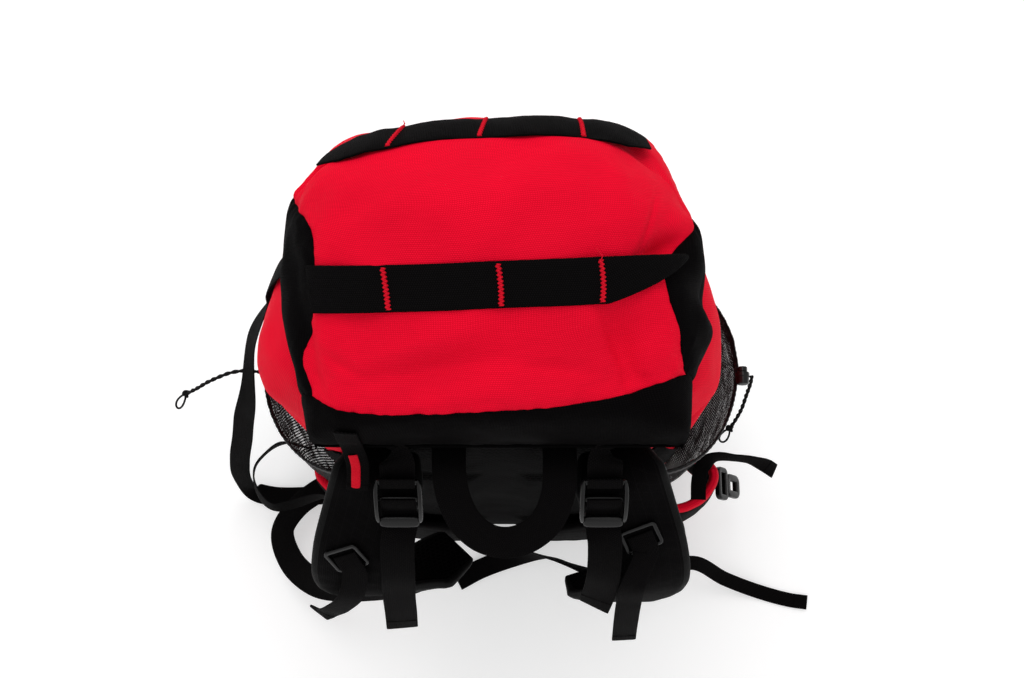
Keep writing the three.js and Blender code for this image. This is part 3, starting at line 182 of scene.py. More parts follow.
BODY_SECTIONS = Table(
    ("up", "left", "right", "front", "back", "square", "lean"),
    (
        (0.0, 0.7, 0.7, 0.76, 0.82, 3.4, 0.0),
        (0.045, 0.8, 0.8, 0.88, 0.94, 3.4, 0.01),
        (0.16, 0.86, 0.86, 0.96, 0.99, 3.3, 0.02),
        (0.32, 0.89, 0.885, 1.0, 1.0, 3.2, 0.03),
        (0.5, 0.91, 0.905, 1.02, 1.0, 2.95, 0.05),
        (0.68, 0.965, 0.93, 1.02, 1.0, 2.8, 0.07),
        (0.83, 1.0, 0.925, 0.99, 1.0, 2.7, 0.08),
        (0.94, 0.91, 0.88, 0.93, 0.98, 2.9, 0.05),
        (1.0, 0.81, 0.8, 0.84, 0.92, 2.9, 0.02),
    ),
)
BODY_FOLDS = Table(
    ("turn", "rise", "long", "wide", "tilt", "out"),
    (
        (0.525, 0.72, 0.16, 0.045, 1.45, 0.075),
        (0.575, 0.8, 0.16, 0.016, 1.5, -0.07),
        (-0.035, 0.74, 0.14, 0.04, 1.6, 0.055),
        (-0.06, 0.7, 0.08, 0.016, 0.9, -0.085),
        (-0.078, 0.82, 0.14, 0.014, 1.6, -0.05),
        (0.25, 0.8, 0.09, 0.035, 0.1, -0.04),
        (0.29, 0.34, 0.1, 0.03, -0.35, -0.035),
        (0.19, 0.5, 0.1, 0.035, 0.4, -0.035),
        (0.4, 0.62, 0.08, 0.03, 0.5, -0.04),
        (0.09, 0.6, 0.08, 0.03, -0.5, -0.04),
    ),
)
LID_SECTIONS = Table(
    ("back", "rise", "wide", "shift", "seamLeft", "seamRight"),
    (
        (0.026, 0.01, 0.9, 0.0, 0.95, 0.95),
        (0.052, 0.464, 0.925, -0.004, 0.72, 0.74),
        (0.2, 0.636, 0.96, -0.018, 0.73, 0.58),
        (0.385, 0.836, 1.045, 0.004, 0.55, 0.46),
        (0.6, 1.0, 1.015, -0.042, 0.53, 0.74),
        (0.765, 0.957, 0.96, -0.058, 0.77, 0.82),
        (0.9, 0.8, 0.85, -0.018, 0.78, 0.76),
        (0.98, 0.514, 0.765, -0.008, 0.86, 0.8),
        (1.0, 0.01, 0.74, -0.005, 0.92, 0.92),
    ),
)
BACK_SEAM = Table(
    ("over",),
    (
        (0.228,),
        (0.22,),
        (0.165,),
        (0.142,),
        (0.14,),
        (0.165,),
        (0.209,),
        (0.247,),
        (0.25,),
    ),
)
LID_FOLDS = Table(
    ("side", "at", "long", "wide", "tilt", "out"),
    (
        (0.5, 0.45, 0.14, 0.035, 0.25, -0.1),
        (0.36, 0.26, 0.2, 0.05, -0.75, -0.055),
        (-0.2, 0.2, 0.25, 0.045, 0.15, -0.03),
        (-0.66, 0.34, 0.08, 0.14, 0.0, -0.05),
        (0.78, 0.4, 0.22, 0.035, 0.0, -0.07),
        (0.74, 0.5, 0.16, 0.06, 0.2, 0.04),
        (-0.56, 0.66, 0.18, 0.04, 0.55, -0.06),
        (-0.42, 0.7, 0.12, 0.04, -0.5, -0.04),
        (0.5, 0.7, 0.14, 0.04, -0.6, -0.05),
        (0.1, 0.54, 0.4, 0.08, 0.1, 0.018),
        (-0.35, 0.84, 0.12, 0.04, 0.3, -0.05),
    ),
)
HAUL_ROUTE = Table(
    ("across", "deep", "up", "x", "y", "z"),
    (
        (-0.198, -1.0, 0.985, 0, -0.2, 1),
        (-0.195, -1.19, 1.002, 0, -0.25, 1),
        (-0.18, -1.35, 0.985, 0, -0.45, 1),
        (-0.135, -1.5, 0.962, 0, -0.55, 1),
        (-0.06, -1.6, 0.945, 0, -0.6, 1),
        (0.026, -1.63, 0.938, 0, -0.6, 1),
        (0.11, -1.6, 0.945, 0, -0.6, 1),
        (0.19, -1.5, 0.962, 0, -0.55, 1),
        (0.232, -1.35, 0.985, 0, -0.45, 1),
        (0.24, -1.19, 1.002, 0, -0.25, 1),
        (0.24, -1.0, 0.985, 0, -0.2, 1),
    ),
)
LEFT_PAD_ROUTE = Table(
    ("across", "deep", "up", "x", "y", "z"),
    (
        (-0.453, -0.992, 0.945, 0, -0.1, 1),
        (-0.482, -1.21, 0.958, 0, -0.3, 1),
        (-0.531, -1.395, 0.9, -0.1, -0.7, 0.7),
        (-0.594, -1.645, 0.82, -0.15, -0.95, 0.3),
        (-0.615, -1.8, 0.725, -0.1, -1, 0),
        (-0.552, -1.79, 0.62, 0.1, -0.95, -0.3),
        (-0.4, -1.65, 0.53, 0.35, -0.6, -0.75),
        (-0.2, -1.4, 0.49, 0.3, -0.2, -0.95),
    ),
)
RIGHT_PAD_ROUTE = Table(
    ("across", "deep", "up", "x", "y", "z"),
    (
        (0.453, -0.992, 0.945, 0, -0.1, 1),
        (0.482, -1.21, 0.96, 0, -0.3, 1),
        (0.536, -1.385, 0.895, 0.1, -0.7, 0.7),
        (0.6, -1.62, 0.82, 0.15, -0.95, 0.3),
        (0.628, -1.79, 0.735, 0.1, -1, 0),
        (0.585, -1.82, 0.615, 0, -1, -0.1),
        (0.5, -1.78, 0.52, -0.2, -0.75, -0.6),
        (0.4, -1.59, 0.46, -0.3, -0.4, -0.9),
    ),
)
LEFT_TAIL_ROUTE = Table(
    ("across", "deep", "up", "x", "y", "z"),
    (
        (-0.398, -1.44, 0.945, 0, -0.77, 0.63),
        (-0.41, -1.6, 0.905, 0, -0.8, 0.6),
        (-0.417, -1.8, 0.84, 0, -0.95, 0.3),
        (-0.427, -1.91, 0.755, 0, -1, 0.1),
        (-0.432, -1.99, 0.68, 0.05, -1, 0.15),
        (-0.438, -2.07, 0.61, 0.1, -1, 0.15),
    ),
)
RIGHT_TAIL_ROUTE = Table(
    ("across", "deep", "up", "x", "y", "z"),
    (
        (0.417, -1.44, 0.945, 0, -0.77, 0.63),
        (0.427, -1.6, 0.905, 0, -0.8, 0.6),
        (0.43, -1.79, 0.84, -0.1, -0.95, 0.3),
        (0.422, -1.88, 0.765, -0.25, -1, 0.1),
        (0.406, -1.95, 0.7, -0.5, -1, 0.1),
    ),
)
LEFT_STERNUM_ROUTE = Table(
    ("across", "deep", "up", "x", "y", "z"),
    (
        (-0.63, -1.9, 0.76, -0.1, -1, 0.1),
        (-0.71, -1.96, 0.68, -0.1, -1, 0.1),
        (-0.775, -1.96, 0.61, -0.1, -1, 0.3),
        (-0.825, -1.95, 0.575, -0.3, -0.9, 0.6),
    ),
)
RIGHT_STERNUM_ROUTE = Table(
    ("across", "deep", "up", "x", "y", "z"),
    (
        (0.553, -1.86, 0.815, 0, -1, 0.2),
        (0.55, -1.95, 0.74, 0, -1, 0.1),
        (0.555, -2.05, 0.64, 0, -1, 0.25),
        (0.562, -2.14, 0.55, 0.05, -1, 0.2),
    ),
)
LEFT_LOWER_ROUTE = Table(
    ("across", "deep", "up", "x", "y", "z"),
    (
        (-0.33, -1.61, 0.4715, 0, -0.5, 0.8),
        (-0.54, -1.68, 0.36, 0.1, -0.6, 0.8),
        (-0.77, -1.64, 0.23, 0.2, -0.5, 0.9),
        (-1.0, -1.53, 0.13, 0.1, -0.3, 1),
        (-1.155, -1.3, 0.075, -0.3, -0.1, 1),
        (-1.21, -1.03, 0.06, -0.4, 0, 0.9),
        (-1.13, -0.8, 0.055, -0.4, 0.1, 0.9),
        (-0.98, -0.62, 0.05, -0.2, 0.1, 1),
        (-0.84, -0.55, 0.045, 0, 0.1, 1),
    ),
)
RIGHT_LOWER_ROUTE = Table(
    ("across", "deep", "up", "x", "y", "z"),
    (
        (0.44, -1.6, 0.425, 0, -0.7, 0.6),
        (0.62, -1.6, 0.33, 0.1, -0.8, 0.5),
        (0.8, -1.5, 0.18, 0.2, -0.6, 0.8),
        (0.93, -1.25, 0.08, 0.4, -0.2, 0.9),
        (0.93, -0.95, 0.045, 0.3, 0, 1),
        (0.8, -0.7, 0.04, 0, 0.1, 1),
    ),
)
FLOOR_TAIL_ROUTE = Table(
    ("across", "deep", "up", "x", "y", "z"),
    (
        (1.03, -1.35, 0.115, 0.3, -0.4, 0.9),
        (1.22, -1.46, 0.045, 0.2, -0.3, 1),
        (1.42, -1.56, 0.008, 0, -0.1, 1),
        (1.58, -1.63, 0.004, 0, 0, 1),
        (1.68, -1.655, 0.006, 0, 0, 1),
    ),
)
CENTRE_TAIL_ROUTE = Table(
    ("across", "deep", "up", "x", "y", "z"),
    (
        (0.3, -1.42, 0.28, 0, -1, 0.3),
        (0.18, -1.28, 0.12, 0, -0.8, 0.6),
        (0.03, -1.27, 0.03, 0, -0.4, 1),
        (-0.12, -1.35, 0.01, 0, 0, 1),
        (-0.25, -1.46, 0.004, 0, 0, 1),
    ),
)
SIDE_STRAP_ROUTE = Table(
    ("across", "deep", "up", "x", "y", "z"),
    (
        (-1.18, 0.12, 0.61, -1, -0.3, 0.3),
        (-1.235, -0.2, 0.5, -0.7, -0.7, 0.3),
        (-1.295, -0.3, 0.4, -0.4, -1, 0.2),
        (-1.34, -0.38, 0.31, -0.3, -1, 0.2),
        (-1.4, -0.48, 0.2, -0.2, -1, 0.2),
        (-1.43, -0.57, 0.1, -0.2, -1, 0.3),
        (-1.4, -0.64, 0.03, -0.2, -0.5, 0.9),
        (-1.29, -0.68, 0.012, 0, 0, 1),
        (-1.1, -0.68, 0.012, 0, 0.1, 1),
        (-0.97, -0.66, 0.014, 0, 0.1, 1),
    ),
)
HIP_LOOP_ROUTE = Table(
    ("across", "deep", "up", "x", "y", "z"),
    (
        (-1.052, -0.37, 0.19, 0, 1, 0.1),
        (-1.17, -0.31, 0.175, -0.2, 1, 0.1),
        (-1.27, -0.38, 0.16, -1, 0.6, 0.1),
        (-1.34, -0.52, 0.15, -1, 0, 0.1),
        (-1.33, -0.7, 0.14, -0.9, -0.4, 0.2),
        (-1.24, -0.86, 0.135, -0.6, -1, 0.2),
    ),
)
RIGHT_WING_ROUTE = Table(
    ("across", "deep", "up", "x", "y", "z"),
    (
        (0.85, -0.98, HIP_MIDDLE, 0.2, -1, 0),
        (0.965, -0.94, HIP_MIDDLE, 0.4, -1, 0),
        (1.06, -0.83, HIP_MIDDLE, 1, -0.7, 0),
        (1.1, -0.68, HIP_MIDDLE, 1, 0, 0),
        (1.065, -0.56, HIP_MIDDLE, 0.8, 1, 0),
        (0.995, -0.52, HIP_MIDDLE, 0, 1, 0),
    ),
)
HIP_TAIL_ROUTE = Table(
    ("across", "deep", "up", "x", "y", "z"),
    (
        (1.01, -0.9, 0.2872, 0, -0.2, 1),
        (1.015, -0.74, 0.2915, 0, 0, 1),
        (1.035, -0.62, 0.306, -0.2, -0.3, 1),
        (1.1, -0.55, 0.306, 0, -1, 0.6),
        (1.2, -0.54, 0.29, 0, -1, 0.25),
        (1.3, -0.545, 0.272, 0, -1, 0.3),
        (1.385, -0.57, 0.242, 0.1, -0.6, 0.8),
        (1.44, -0.6, 0.217, 0.2, -0.2, 1),
    ),
)
LID_ANCHOR_ROUTE = Table(
    ("across", "deep", "up", "x", "y", "z"),
    (
        (-0.55, -1.17, 1.02, 0, -0.6, 0.8),
        (-0.552, -1.25, 1.0, 0, -0.6, 0.8),
        (-0.556, -1.31, 0.982, 0, -0.7, 0.7),
    ),
)
LEFT_WING = Table(
    ("turn", "off"),
    (
        (0.715, 0.0302),
        (0.68, 0.0302),
        (0.645, 0.0302),
        (0.615, 0.038),
        (0.592, 0.059),
        (0.574, 0.117),
        (0.558, 0.171),
    ),
)
RIGHT_WING = Table(
    ("turn", "off"),
    (
        (0.785, 0.0302),
        (0.82, 0.0302),
        (0.855, 0.0388),
    ),
)


# Small creases of the lid's cloth, in the form of its folds
LID_CREASES = Table(
    ("side", "at", "long", "wide", "tilt", "out"),
    (
        (0.52, 0.452, 0.13, 0.012, 0.2, -0.034),
        (0.54, 0.482, 0.13, 0.016, 0.25, 0.02),
        (0.42, 0.47, 0.1, 0.01, 0.7, -0.016),
        (0.3, 0.3, 0.13, 0.022, -0.5, -0.022),
        (0.38, 0.27, 0.12, 0.014, -0.62, -0.014),
        (-0.16, 0.245, 0.2, 0.016, 0.1, -0.02),
        (-0.22, 0.275, 0.18, 0.018, 0.14, 0.014),
        (0.12, 0.235, 0.13, 0.014, -0.1, -0.012),
        (-0.46, 0.262, 0.1, 0.014, -0.3, -0.015),
        (-0.66, 0.655, 0.12, 0.014, 0.5, -0.03),
        (-0.56, 0.62, 0.13, 0.014, 0.35, 0.018),
        (-0.6, 0.69, 0.1, 0.012, 0.3, -0.02),
        (0.48, 0.672, 0.12, 0.016, -0.35, -0.032),
        (0.56, 0.63, 0.14, 0.02, -0.5, 0.018),
        (0.7, 0.56, 0.13, 0.016, -0.9, -0.02),
        (-0.3, 0.52, 0.2, 0.03, 0.2, -0.01),
        (0.22, 0.57, 0.22, 0.03, -0.15, -0.01),
        (-0.4, 0.345, 0.16, 0.012, 0.05, -0.01),
    ),
)

# Elastic cords of the pocket hems, from the hem to the knot, and the ends of the eyes behind the
# knots, in millimetres from the middle of the hem
LEFT_CORD = (
    (0.6, -2.1, 1.9),
    (-7.9, -2.6, 6.9),
    (-16.9, -3.1, 10.9),
    (-28.9, -5.1, 10.9),
    (-40.9, -8.1, 5.9),
    (-52.9, -11.1, -2.1),
    (-63.9, -14.1, -12.1),
    (-77.4, -15.6, -27.1),
)
LEFT_EYE = (-85.9, -23.1, -38.1)
RIGHT_CORD = (
    (10.9, -9, 8.4),
    (11.6, -12.5, -3.5),
    (10.3, -19.5, -21.7),
    (8.3, -28.5, -41.7),
    (5.3, -34.5, -57.7),
    (1.3, -40.5, -72.7),
)
RIGHT_EYE = (-3.7, -47.5, -85.7)
RIGHT_CORD_LOCK = (2.3, -8.5, 8.8)


def vector(x: float, y: float, z: float) -> Grid:
    """A point or direction."""
    return np.array([x, y, z], float)


def unit(v: Grid) -> Grid:
    """Vectors at length 1."""
    return v / np.maximum(np.linalg.norm(v, axis=-1, keepdims=True), 1e-12)


def lerp(a: Grid | float, b: Grid | float, t: Grid | float) -> Grid:
    """The value a share t of the way from a to b."""
    return a + (b - a) * t


def smooth(low: float, high: float, x: Grid) -> Grid:
    """0 under low, 1 over high, and a smooth rise between them."""
    t = np.clip((x - low) / (high - low), 0, 1)
    return t * t * (3 - 2 * t)


def folds_at(folds: Table, first: Grid, second: Grid) -> Grid:
    """How far a table of folds stands out at each place, as a share.

    Each fold is a soft ridge or groove, the exponential of minus the squared distance along and
    across itself.

    Args:
        folds: columns place, place, long, wide, tilt, out.
        first: places along the first parameter.
        second: places along the second parameter.

    Returns:
        The sum of all folds at each place.
    """
    out = np.zeros(np.broadcast(first, second).shape)
    for place_a, place_b, long, wide, tilt, height in folds.rows:
        a, b = first - place_a, second - place_b
        along = (a * math.cos(tilt) + b * math.sin(tilt)) / long
        over = (b * math.cos(tilt) - a * math.sin(tilt)) / wide
        out = out + height * np.exp(-along * along - over * over)
    return out


def crumple(points: Grid, seed: int, size: float, height: float, waves: int = 14) -> Grid:
    """Soft irregular creases of cloth: the sum of many sine waves with random directions.

    Args:
        points: places in the row frame.
        seed: of the random directions.
        size: length of the longest wave.
        height: about how far the creases stand out.
        waves: how many waves.

    Returns:
        The height of the creases at each place.
    """
    random = np.random.default_rng(seed)
    direction = unit(random.normal(size=(waves, 3)))
    length = size * np.geomspace(1, 0.28, waves)
    phase = random.uniform(0, 2 * math.pi, waves)
    angle = points @ (direction * (2 * math.pi / length)[:, None]).T + phase
    wave = np.sin(angle) * (length / size)
    return height * wave.sum(axis=-1) / math.sqrt(waves)


def body_point(turn: Grid, rise: Grid) -> Grid:
    """The outside of the bag.

    At each height the outline is a superellipse: its reach is the distance where the powers of
    the shares of its half width and half depth add up to 1, and the folds stand out of it.

    Args:
        turn: shares of a turn from +X towards +Y.
        rise: shares of the way up.

    Returns:
        Points of the outside.
    """
    turn, rise = np.broadcast_arrays(np.asarray(turn, float), np.asarray(rise, float))
    angle = turn * 2 * math.pi
    c, s = np.cos(angle), np.sin(angle)
    left, right = BODY_SECTIONS.at("left", rise), BODY_SECTIONS.at("right", rise)
    front, back = BODY_SECTIONS.at("front", rise), BODY_SECTIONS.at("back", rise)
    wide = HALF_WIDTH * np.where(c < 0, left, right) * (1 - BODY_SECTIONS.at("lean", rise) * s)
    deep = HALF_DEPTH * np.where(s < 0, back, front)
    square = BODY_SECTIONS.at("square", rise)
    reach = (np.abs(c / wide) ** square + np.abs(s / deep) ** square) ** (-1 / square)
    folded = reach + HALF_DEPTH * folds_at(BODY_FOLDS, turn, rise)
    height = lerp(BASE_CLOTH + SEAM_GAP, BODY_HEIGHT, BODY_SECTIONS.at("up", rise))
    return np.stack([folded * c, folded * s, height], axis=-1)


def lid_point(side: Grid, over: Grid, folds: Table | None = None) -> Grid:
    """The outside of the lid.

    Across, it is a rounded arch: powers of the sine and cosine of the angle times its half width
    and height, and the whole arch turns a little about Z with height.

    Args:
        side: shares across, -1 to 1.
        over: shares of the way from the back edge over the crown to the front edge.
        folds: folds that stand out of it, or none.

    Returns:
        Points of the outside.
    """
    side, over = np.broadcast_arrays(np.asarray(side, float), np.asarray(over, float))
    angle = side * math.pi / 2
    across = np.sign(side) * np.abs(np.sin(angle)) ** LID_ROUND
    down = np.maximum(np.cos(angle), 0) ** LID_ROUND
    fold = 0 if folds is None else LID_HEIGHT * folds_at(folds, side, over)
    y = -LID_SET_BACK + LID_DEPTH * LID_SECTIONS.at("back", over)
    x = LID_SECTIONS.at("wide", over) * across * (1 - LID_TUCK * side**6) + LID_SECTIONS.at("shift", over)
    x = LID_WIDTH / 2 * x
    height = (LID_HEIGHT * LID_SECTIONS.at("rise", over) + fold) * down
    x = x + fold * np.sin(angle)
    twist = LID_TWIST * height / LID_HEIGHT
    c, s = np.cos(twist), np.sin(twist)
    return np.stack([x * c - y * s, x * s + y * c, LID_BASE + height], axis=-1)


def folded_lid(side: Grid, over: Grid) -> Grid:
    """The lid with its folds."""
    return lid_point(side, over, LID_FOLDS)


def creased_lid(side: Grid, over: Grid) -> Grid:
    """The lid with its folds and the small creases of its cloth."""
    return lid_point(side, over, Table(LID_FOLDS.names, LID_FOLDS.rows + LID_CREASES.rows))


STEP = 1e-3


def slope_across(surface: Surface, a: Grid, b: Grid) -> Grid:
    """How a surface runs along its first parameter."""
    return (surface(a + STEP, b) - surface(a - STEP, b)) / (2 * STEP)


def slope_up(surface: Surface, a: Grid, b: Grid) -> Grid:
    """How a surface runs along its second parameter, from 0 to 1."""
    low, high = np.maximum(b - STEP, 0), np.minimum(b + STEP, 1)
    return (surface(a, high) - surface(a, low)) / (high - low)[..., None]


def outward(surface: Surface, a: Grid, b: Grid) -> Grid:
    """Directions out of a surface: its two slopes crossed."""
    a, b = np.broadcast_arrays(np.asarray(a, float), np.asarray(b, float))
    return unit(np.cross(slope_across(surface, a, b), slope_up(surface, a, b)))


def grid_normals(points: Grid) -> Grid:
    """Directions out of a grid of points, from the differences of neighbours."""
    return unit(np.cross(np.gradient(points, axis=0), np.gradient(points, axis=1)))


def run_lengths(points: Grid, axis: int) -> Grid:
    """How far along the grid each point lies from the first row or column."""
    steps = np.linalg.norm(np.diff(points, axis=axis), axis=-1)
    zero = np.zeros_like(np.take(steps, [0], axis=axis))
    return np.concatenate([zero, np.cumsum(steps, axis=axis)], axis=axis)


def edge_distance(points: Grid) -> Grid:
    """The distance of each grid point from the nearest of the four edges, along the grid."""
    u, v = run_lengths(points, 0), run_lengths(points, 1)
    return np.minimum.reduce([u, u[-1:] - u, v, v[:, -1:] - v])


@dataclass(frozen=True)
class Row:
    """A place on a course and the way that its face looks there."""

    point: Grid
    face: Grid


def rows_of(table: Table) -> list[Row]:
    """The rows of a table of places round the bag, as shares of its half sizes and height."""
    scale = vector(HALF_WIDTH, HALF_DEPTH, BODY_HEIGHT)
    return [Row(np.array(row[:3]) * scale, np.array(row[3:], float)) for row in table.rows]


def on_body(turn: float, rise: float, lift: float) -> Row:
    """A place lifted off the outside of the bag."""
    out = outward(body_point, turn, rise)
    return Row(body_point(turn, rise) + out * lift, out)


def centripetal(points: Grid, share: Grid) -> Grid:
    """A centripetal Catmull-Rom curve, each piece timed by the root of its chord.

    Args:
        points: the points it runs through.
        share: places along it, 0 to 1, evenly divided between the pieces.

    Returns:
        Points of the curve.
    """
    padded = np.vstack([2 * points[0] - points[1], points, 2 * points[-1] - points[-2]])
    pieces = len(points) - 1
    place = np.clip(share, 0, 1) * pieces
    index = np.minimum(place.astype(int), pieces - 1)
    t = (place - index)[:, None]
    p0, p1, p2, p3 = (padded[index + k] for k in range(4))
    chord = [np.sqrt(np.linalg.norm(b - a, axis=1, keepdims=True)) for a, b in ((p0, p1), (p1, p2), (p2, p3))]
    d1 = np.where(chord[1] < 1e-4, 1, chord[1])
    d0 = np.where(chord[0] < 1e-4, d1, chord[0])
    d2 = np.where(chord[2] < 1e-4, d1, chord[2])
    t1 = ((p1 - p0) / d0 - (p2 - p0) / (d0 + d1) + (p2 - p1) / d1) * d1
    t2 = ((p2 - p1) / d1 - (p3 - p1) / (d1 + d2) + (p3 - p2) / d2) * d1
    return p1 + t * (t1 + t * (3 * (p2 - p1) - 2 * t1 - t2 + t * (2 * (p1 - p2) + t1 + t2)))


@dataclass(frozen=True)
class Course:
    """The smooth course of a strap or a pad through its rows."""

    rows: Sequence[Row]

    def frame(self, share: Grid) -> tuple[Grid, Grid, Grid, Grid]:
        """Middle, side, along and out directions at shares of the course."""
        points = np.array([row.point for row in self.rows])
        faces = unit(np.array([row.face for row in self.rows]))
        share = np.atleast_1d(np.asarray(share, float))
        middle = centripetal(points, share)
        low, high = np.maximum(share - 1e-4, 0), np.minimum(share + 1e-4, 1)
        along = unit(centripetal(points, high) - centripetal(points, low))
        side = unit(np.cross(along, centripetal(faces, share)))
        return middle, side, along, np.cross(side, along)

    def even(self, count: int) -> tuple[Grid, Grid]:
        """Shares that divide the course evenly by length, and the lengths there."""
        fine = np.linspace(0, 1, 600)
        points = centripetal(np.array([row.point for row in self.rows]), fine)
        length = np.concatenate([[0], np.cumsum(np.linalg.norm(np.diff(points, axis=0), axis=1))])
        wanted = np.linspace(0, length[-1], count)
        return np.interp(wanted, length, fine), wanted

    def beside(self, share: float, lift: float) -> Row:
        """A place lifted off the middle of the course."""
        middle, _, _, out = self.frame(np.array([share]))
        return Row(middle[0] + out[0] * lift, out[0])


class MeshMaker:
    """Collects grids of points and puts them into one mesh with its own UV map."""

    def __init__(self, name: str) -> None:
        """Starts an empty piece with the given name."""
        self.name = name
        self.points: list[Grid] = []
        self.uvs: list[Grid] = []
        self.faces: list[Grid] = []
        self.finishes: list[Grid] = []
        self.count = 0

    def _add(self, points: Grid, uv: Grid, faces: Grid, finish: Grid | int) -> None:
        """Adds vertices, their UVs and faces, of one finish or with a finish for each face."""
        self.points.append(points.reshape(-1, 3))
        self.uvs.append(uv.reshape(-1, 2))
        self.faces.append(faces + self.count)
        self.finishes.append(np.broadcast_to(finish, (len(faces),)))
        self.count += self.points[-1].shape[0]

    @staticmethod
    def _quads(index: Grid, close_a: bool, close_b: bool) -> Grid:
        """Quads over a grid of vertex numbers, wrapping round where it is closed."""
        if close_a:
            index = np.vstack([index, index[:1]])
        if close_b:
            index = np.hstack([index, index[:, :1]])
        a, b, c, d = index[:-1, :-1], index[1:, :-1], index[1:, 1:], index[:-1, 1:]
        return np.stack([a, b, c, d], axis=-1).reshape(-1, 4)

    def tube(self, rings: Grid, uv: Grid, finish: Grid | int = 0, closed: bool = False) -> None:
        """Adds a tube of rings of points, with its ends filled by fans of quads.

        Args:
            rings: points, one ring after another, each running anticlockwise seen from its end.
            uv: the place of each point on the cloth.
            finish: the number of its material, or one for each side of its rings, or one for
                each side between every two rings.
            closed: whether the last ring joins the first.
        """
        count, sides = rings.shape[:2]
        index = np.arange(count * sides).reshape(count, sides)
        faces = self._quads(index, closed, True)
        finishes = np.broadcast_to(finish, (len(faces) // sides, sides)).ravel()
        if not closed:
            half = sides // 2
            k = np.arange(half - 1)
            first = np.stack([index[0, k], index[0, k + 1], index[0, -k - 2], index[0, -k - 1]], axis=-1)
            last = np.stack([index[-1, -k - 1], index[-1, -k - 2], index[-1, k + 1], index[-1, k]], axis=-1)
            faces = np.vstack([faces, first, last])
            finishes = np.append(finishes, np.full(len(first) + len(last), finishes.max()))
        self._add(rings, uv, faces, finishes)

    def shell(self, outer: Grid, inner: Grid, finish: int = 0) -> None:
        """Adds a cloth wall between two grids of points, with rounded edges.

        Args:
            outer: the side seen from outside.
            inner: the other side, a point for each point of outer.
            finish: the number of its material.
        """
        rows, columns = outer.shape[:2]
        uv = np.stack([run_lengths(outer, 0), run_lengths(outer, 1)], axis=-1)
        index = np.arange(rows * columns).reshape(rows, columns)
        offset = rows * columns
        loop = np.concatenate([index[0, :-1], index[:-1, -1], index[-1, :0:-1], index[:0:-1, 0]])
        within = np.concatenate([index[1, :-1], index[:-1, -2], index[-2, :0:-1], index[:0:-1, 1]])
        flat_outer, flat_inner = outer.reshape(-1, 3), inner.reshape(-1, 3)
        out = unit(flat_outer[loop] - flat_outer[within])
        thick = np.linalg.norm(flat_outer[loop] - flat_inner[loop], axis=1, keepdims=True)
        rim = (flat_outer[loop] + flat_inner[loop]) / 2 + out * thick * 0.45
        rim_index = 2 * offset + np.arange(len(loop))
        top = self._quads(index, False, False)
        under = self._quads(index + offset, False, False)[:, ::-1]
        nxt = np.roll(np.arange(len(loop)), -1)
        upper = np.stack([loop, loop[nxt], rim_index[nxt], rim_index], axis=-1)
        lower = np.stack([rim_index, rim_index[nxt], loop[nxt] + offset, loop + offset], axis=-1)
        flat_uv = uv.reshape(-1, 2)
        points = np.vstack([flat_outer, flat_inner, rim])
        self._add(points, np.vstack([flat_uv, flat_uv, flat_uv[loop]]), np.vstack([top, under, upper, lower]), finish)

    def build(self, *finishes: bpy.types.Material, soften: float = 50.0) -> bpy.types.Object:
        """Makes the object.

        Args:
            finishes: the materials, in the order of their numbers.
            soften: degrees under which an edge is shaded smooth.

        Returns:
            The finished object, at the origin.
        """
        points = np.vstack(self.points)
        faces = np.vstack(self.faces)
        mesh = bpy.data.meshes.new(self.name)
        mesh.from_pydata(points, [], faces.tolist())
        for material in finishes:
            mesh.materials.append(material)
        mesh.polygons.foreach_set("material_index", np.concatenate(self.finishes).astype(np.int32))
        layer = mesh.uv_layers.new(name="cloth")
        layer.data.foreach_set("uv", np.vstack(self.uvs)[faces.reshape(-1)].reshape(-1))
        mesh.shade_smooth()
        mesh.set_sharp_from_angle(angle=math.radians(soften))
        mesh.update()
        piece = bpy.data.objects.new(self.name, mesh)
        bpy.context.scene.collection.objects.link(piece)
        return piece


def superellipse(sides: int, power: float) -> tuple[Grid, Grid]:
    """Unit places round a rounded rectangle: powers of the cosine and the sine."""
    angle = 2 * math.pi * (np.arange(sides) + 0.5) / sides
    c, s = np.cos(angle), np.sin(angle)
    return np.sign(c) * np.abs(c) ** power, np.sign(s) * np.abs(s) ** power


def ribbon_rings(course: Course, share: Grid, length: Grid, width: Grid, thickness: Grid, bow: Grid, sides: int = 18) -> tuple[Grid, Grid]:
    """Rings of a flat strap: a rounded rectangle carried along its course.

    Args:
        course: the strap's course.
        share: places along it.
        length: the length of the course there.
        width: its width there.
        thickness: its thickness there.
        bow: how far the middle of the strap stands out of its edges there.
        sides: points of a ring.

    Returns:
        The rings and the place of each point on the cloth.
    """
    middle, side, _, out = course.frame(share)
    across, up = superellipse(sides, 0.32)
    w = width[:, None] / 2 * across
    lift = thickness[:, None] / 2 * up + bow[:, None] * (1 - across**2)
    rings = middle[:, None] + side[:, None] * w[..., None] + out[:, None] * lift[..., None]
    uv = np.stack([np.broadcast_to(length[:, None], w.shape), w], axis=-1)
    return rings[:, ::-1], uv[:, ::-1]


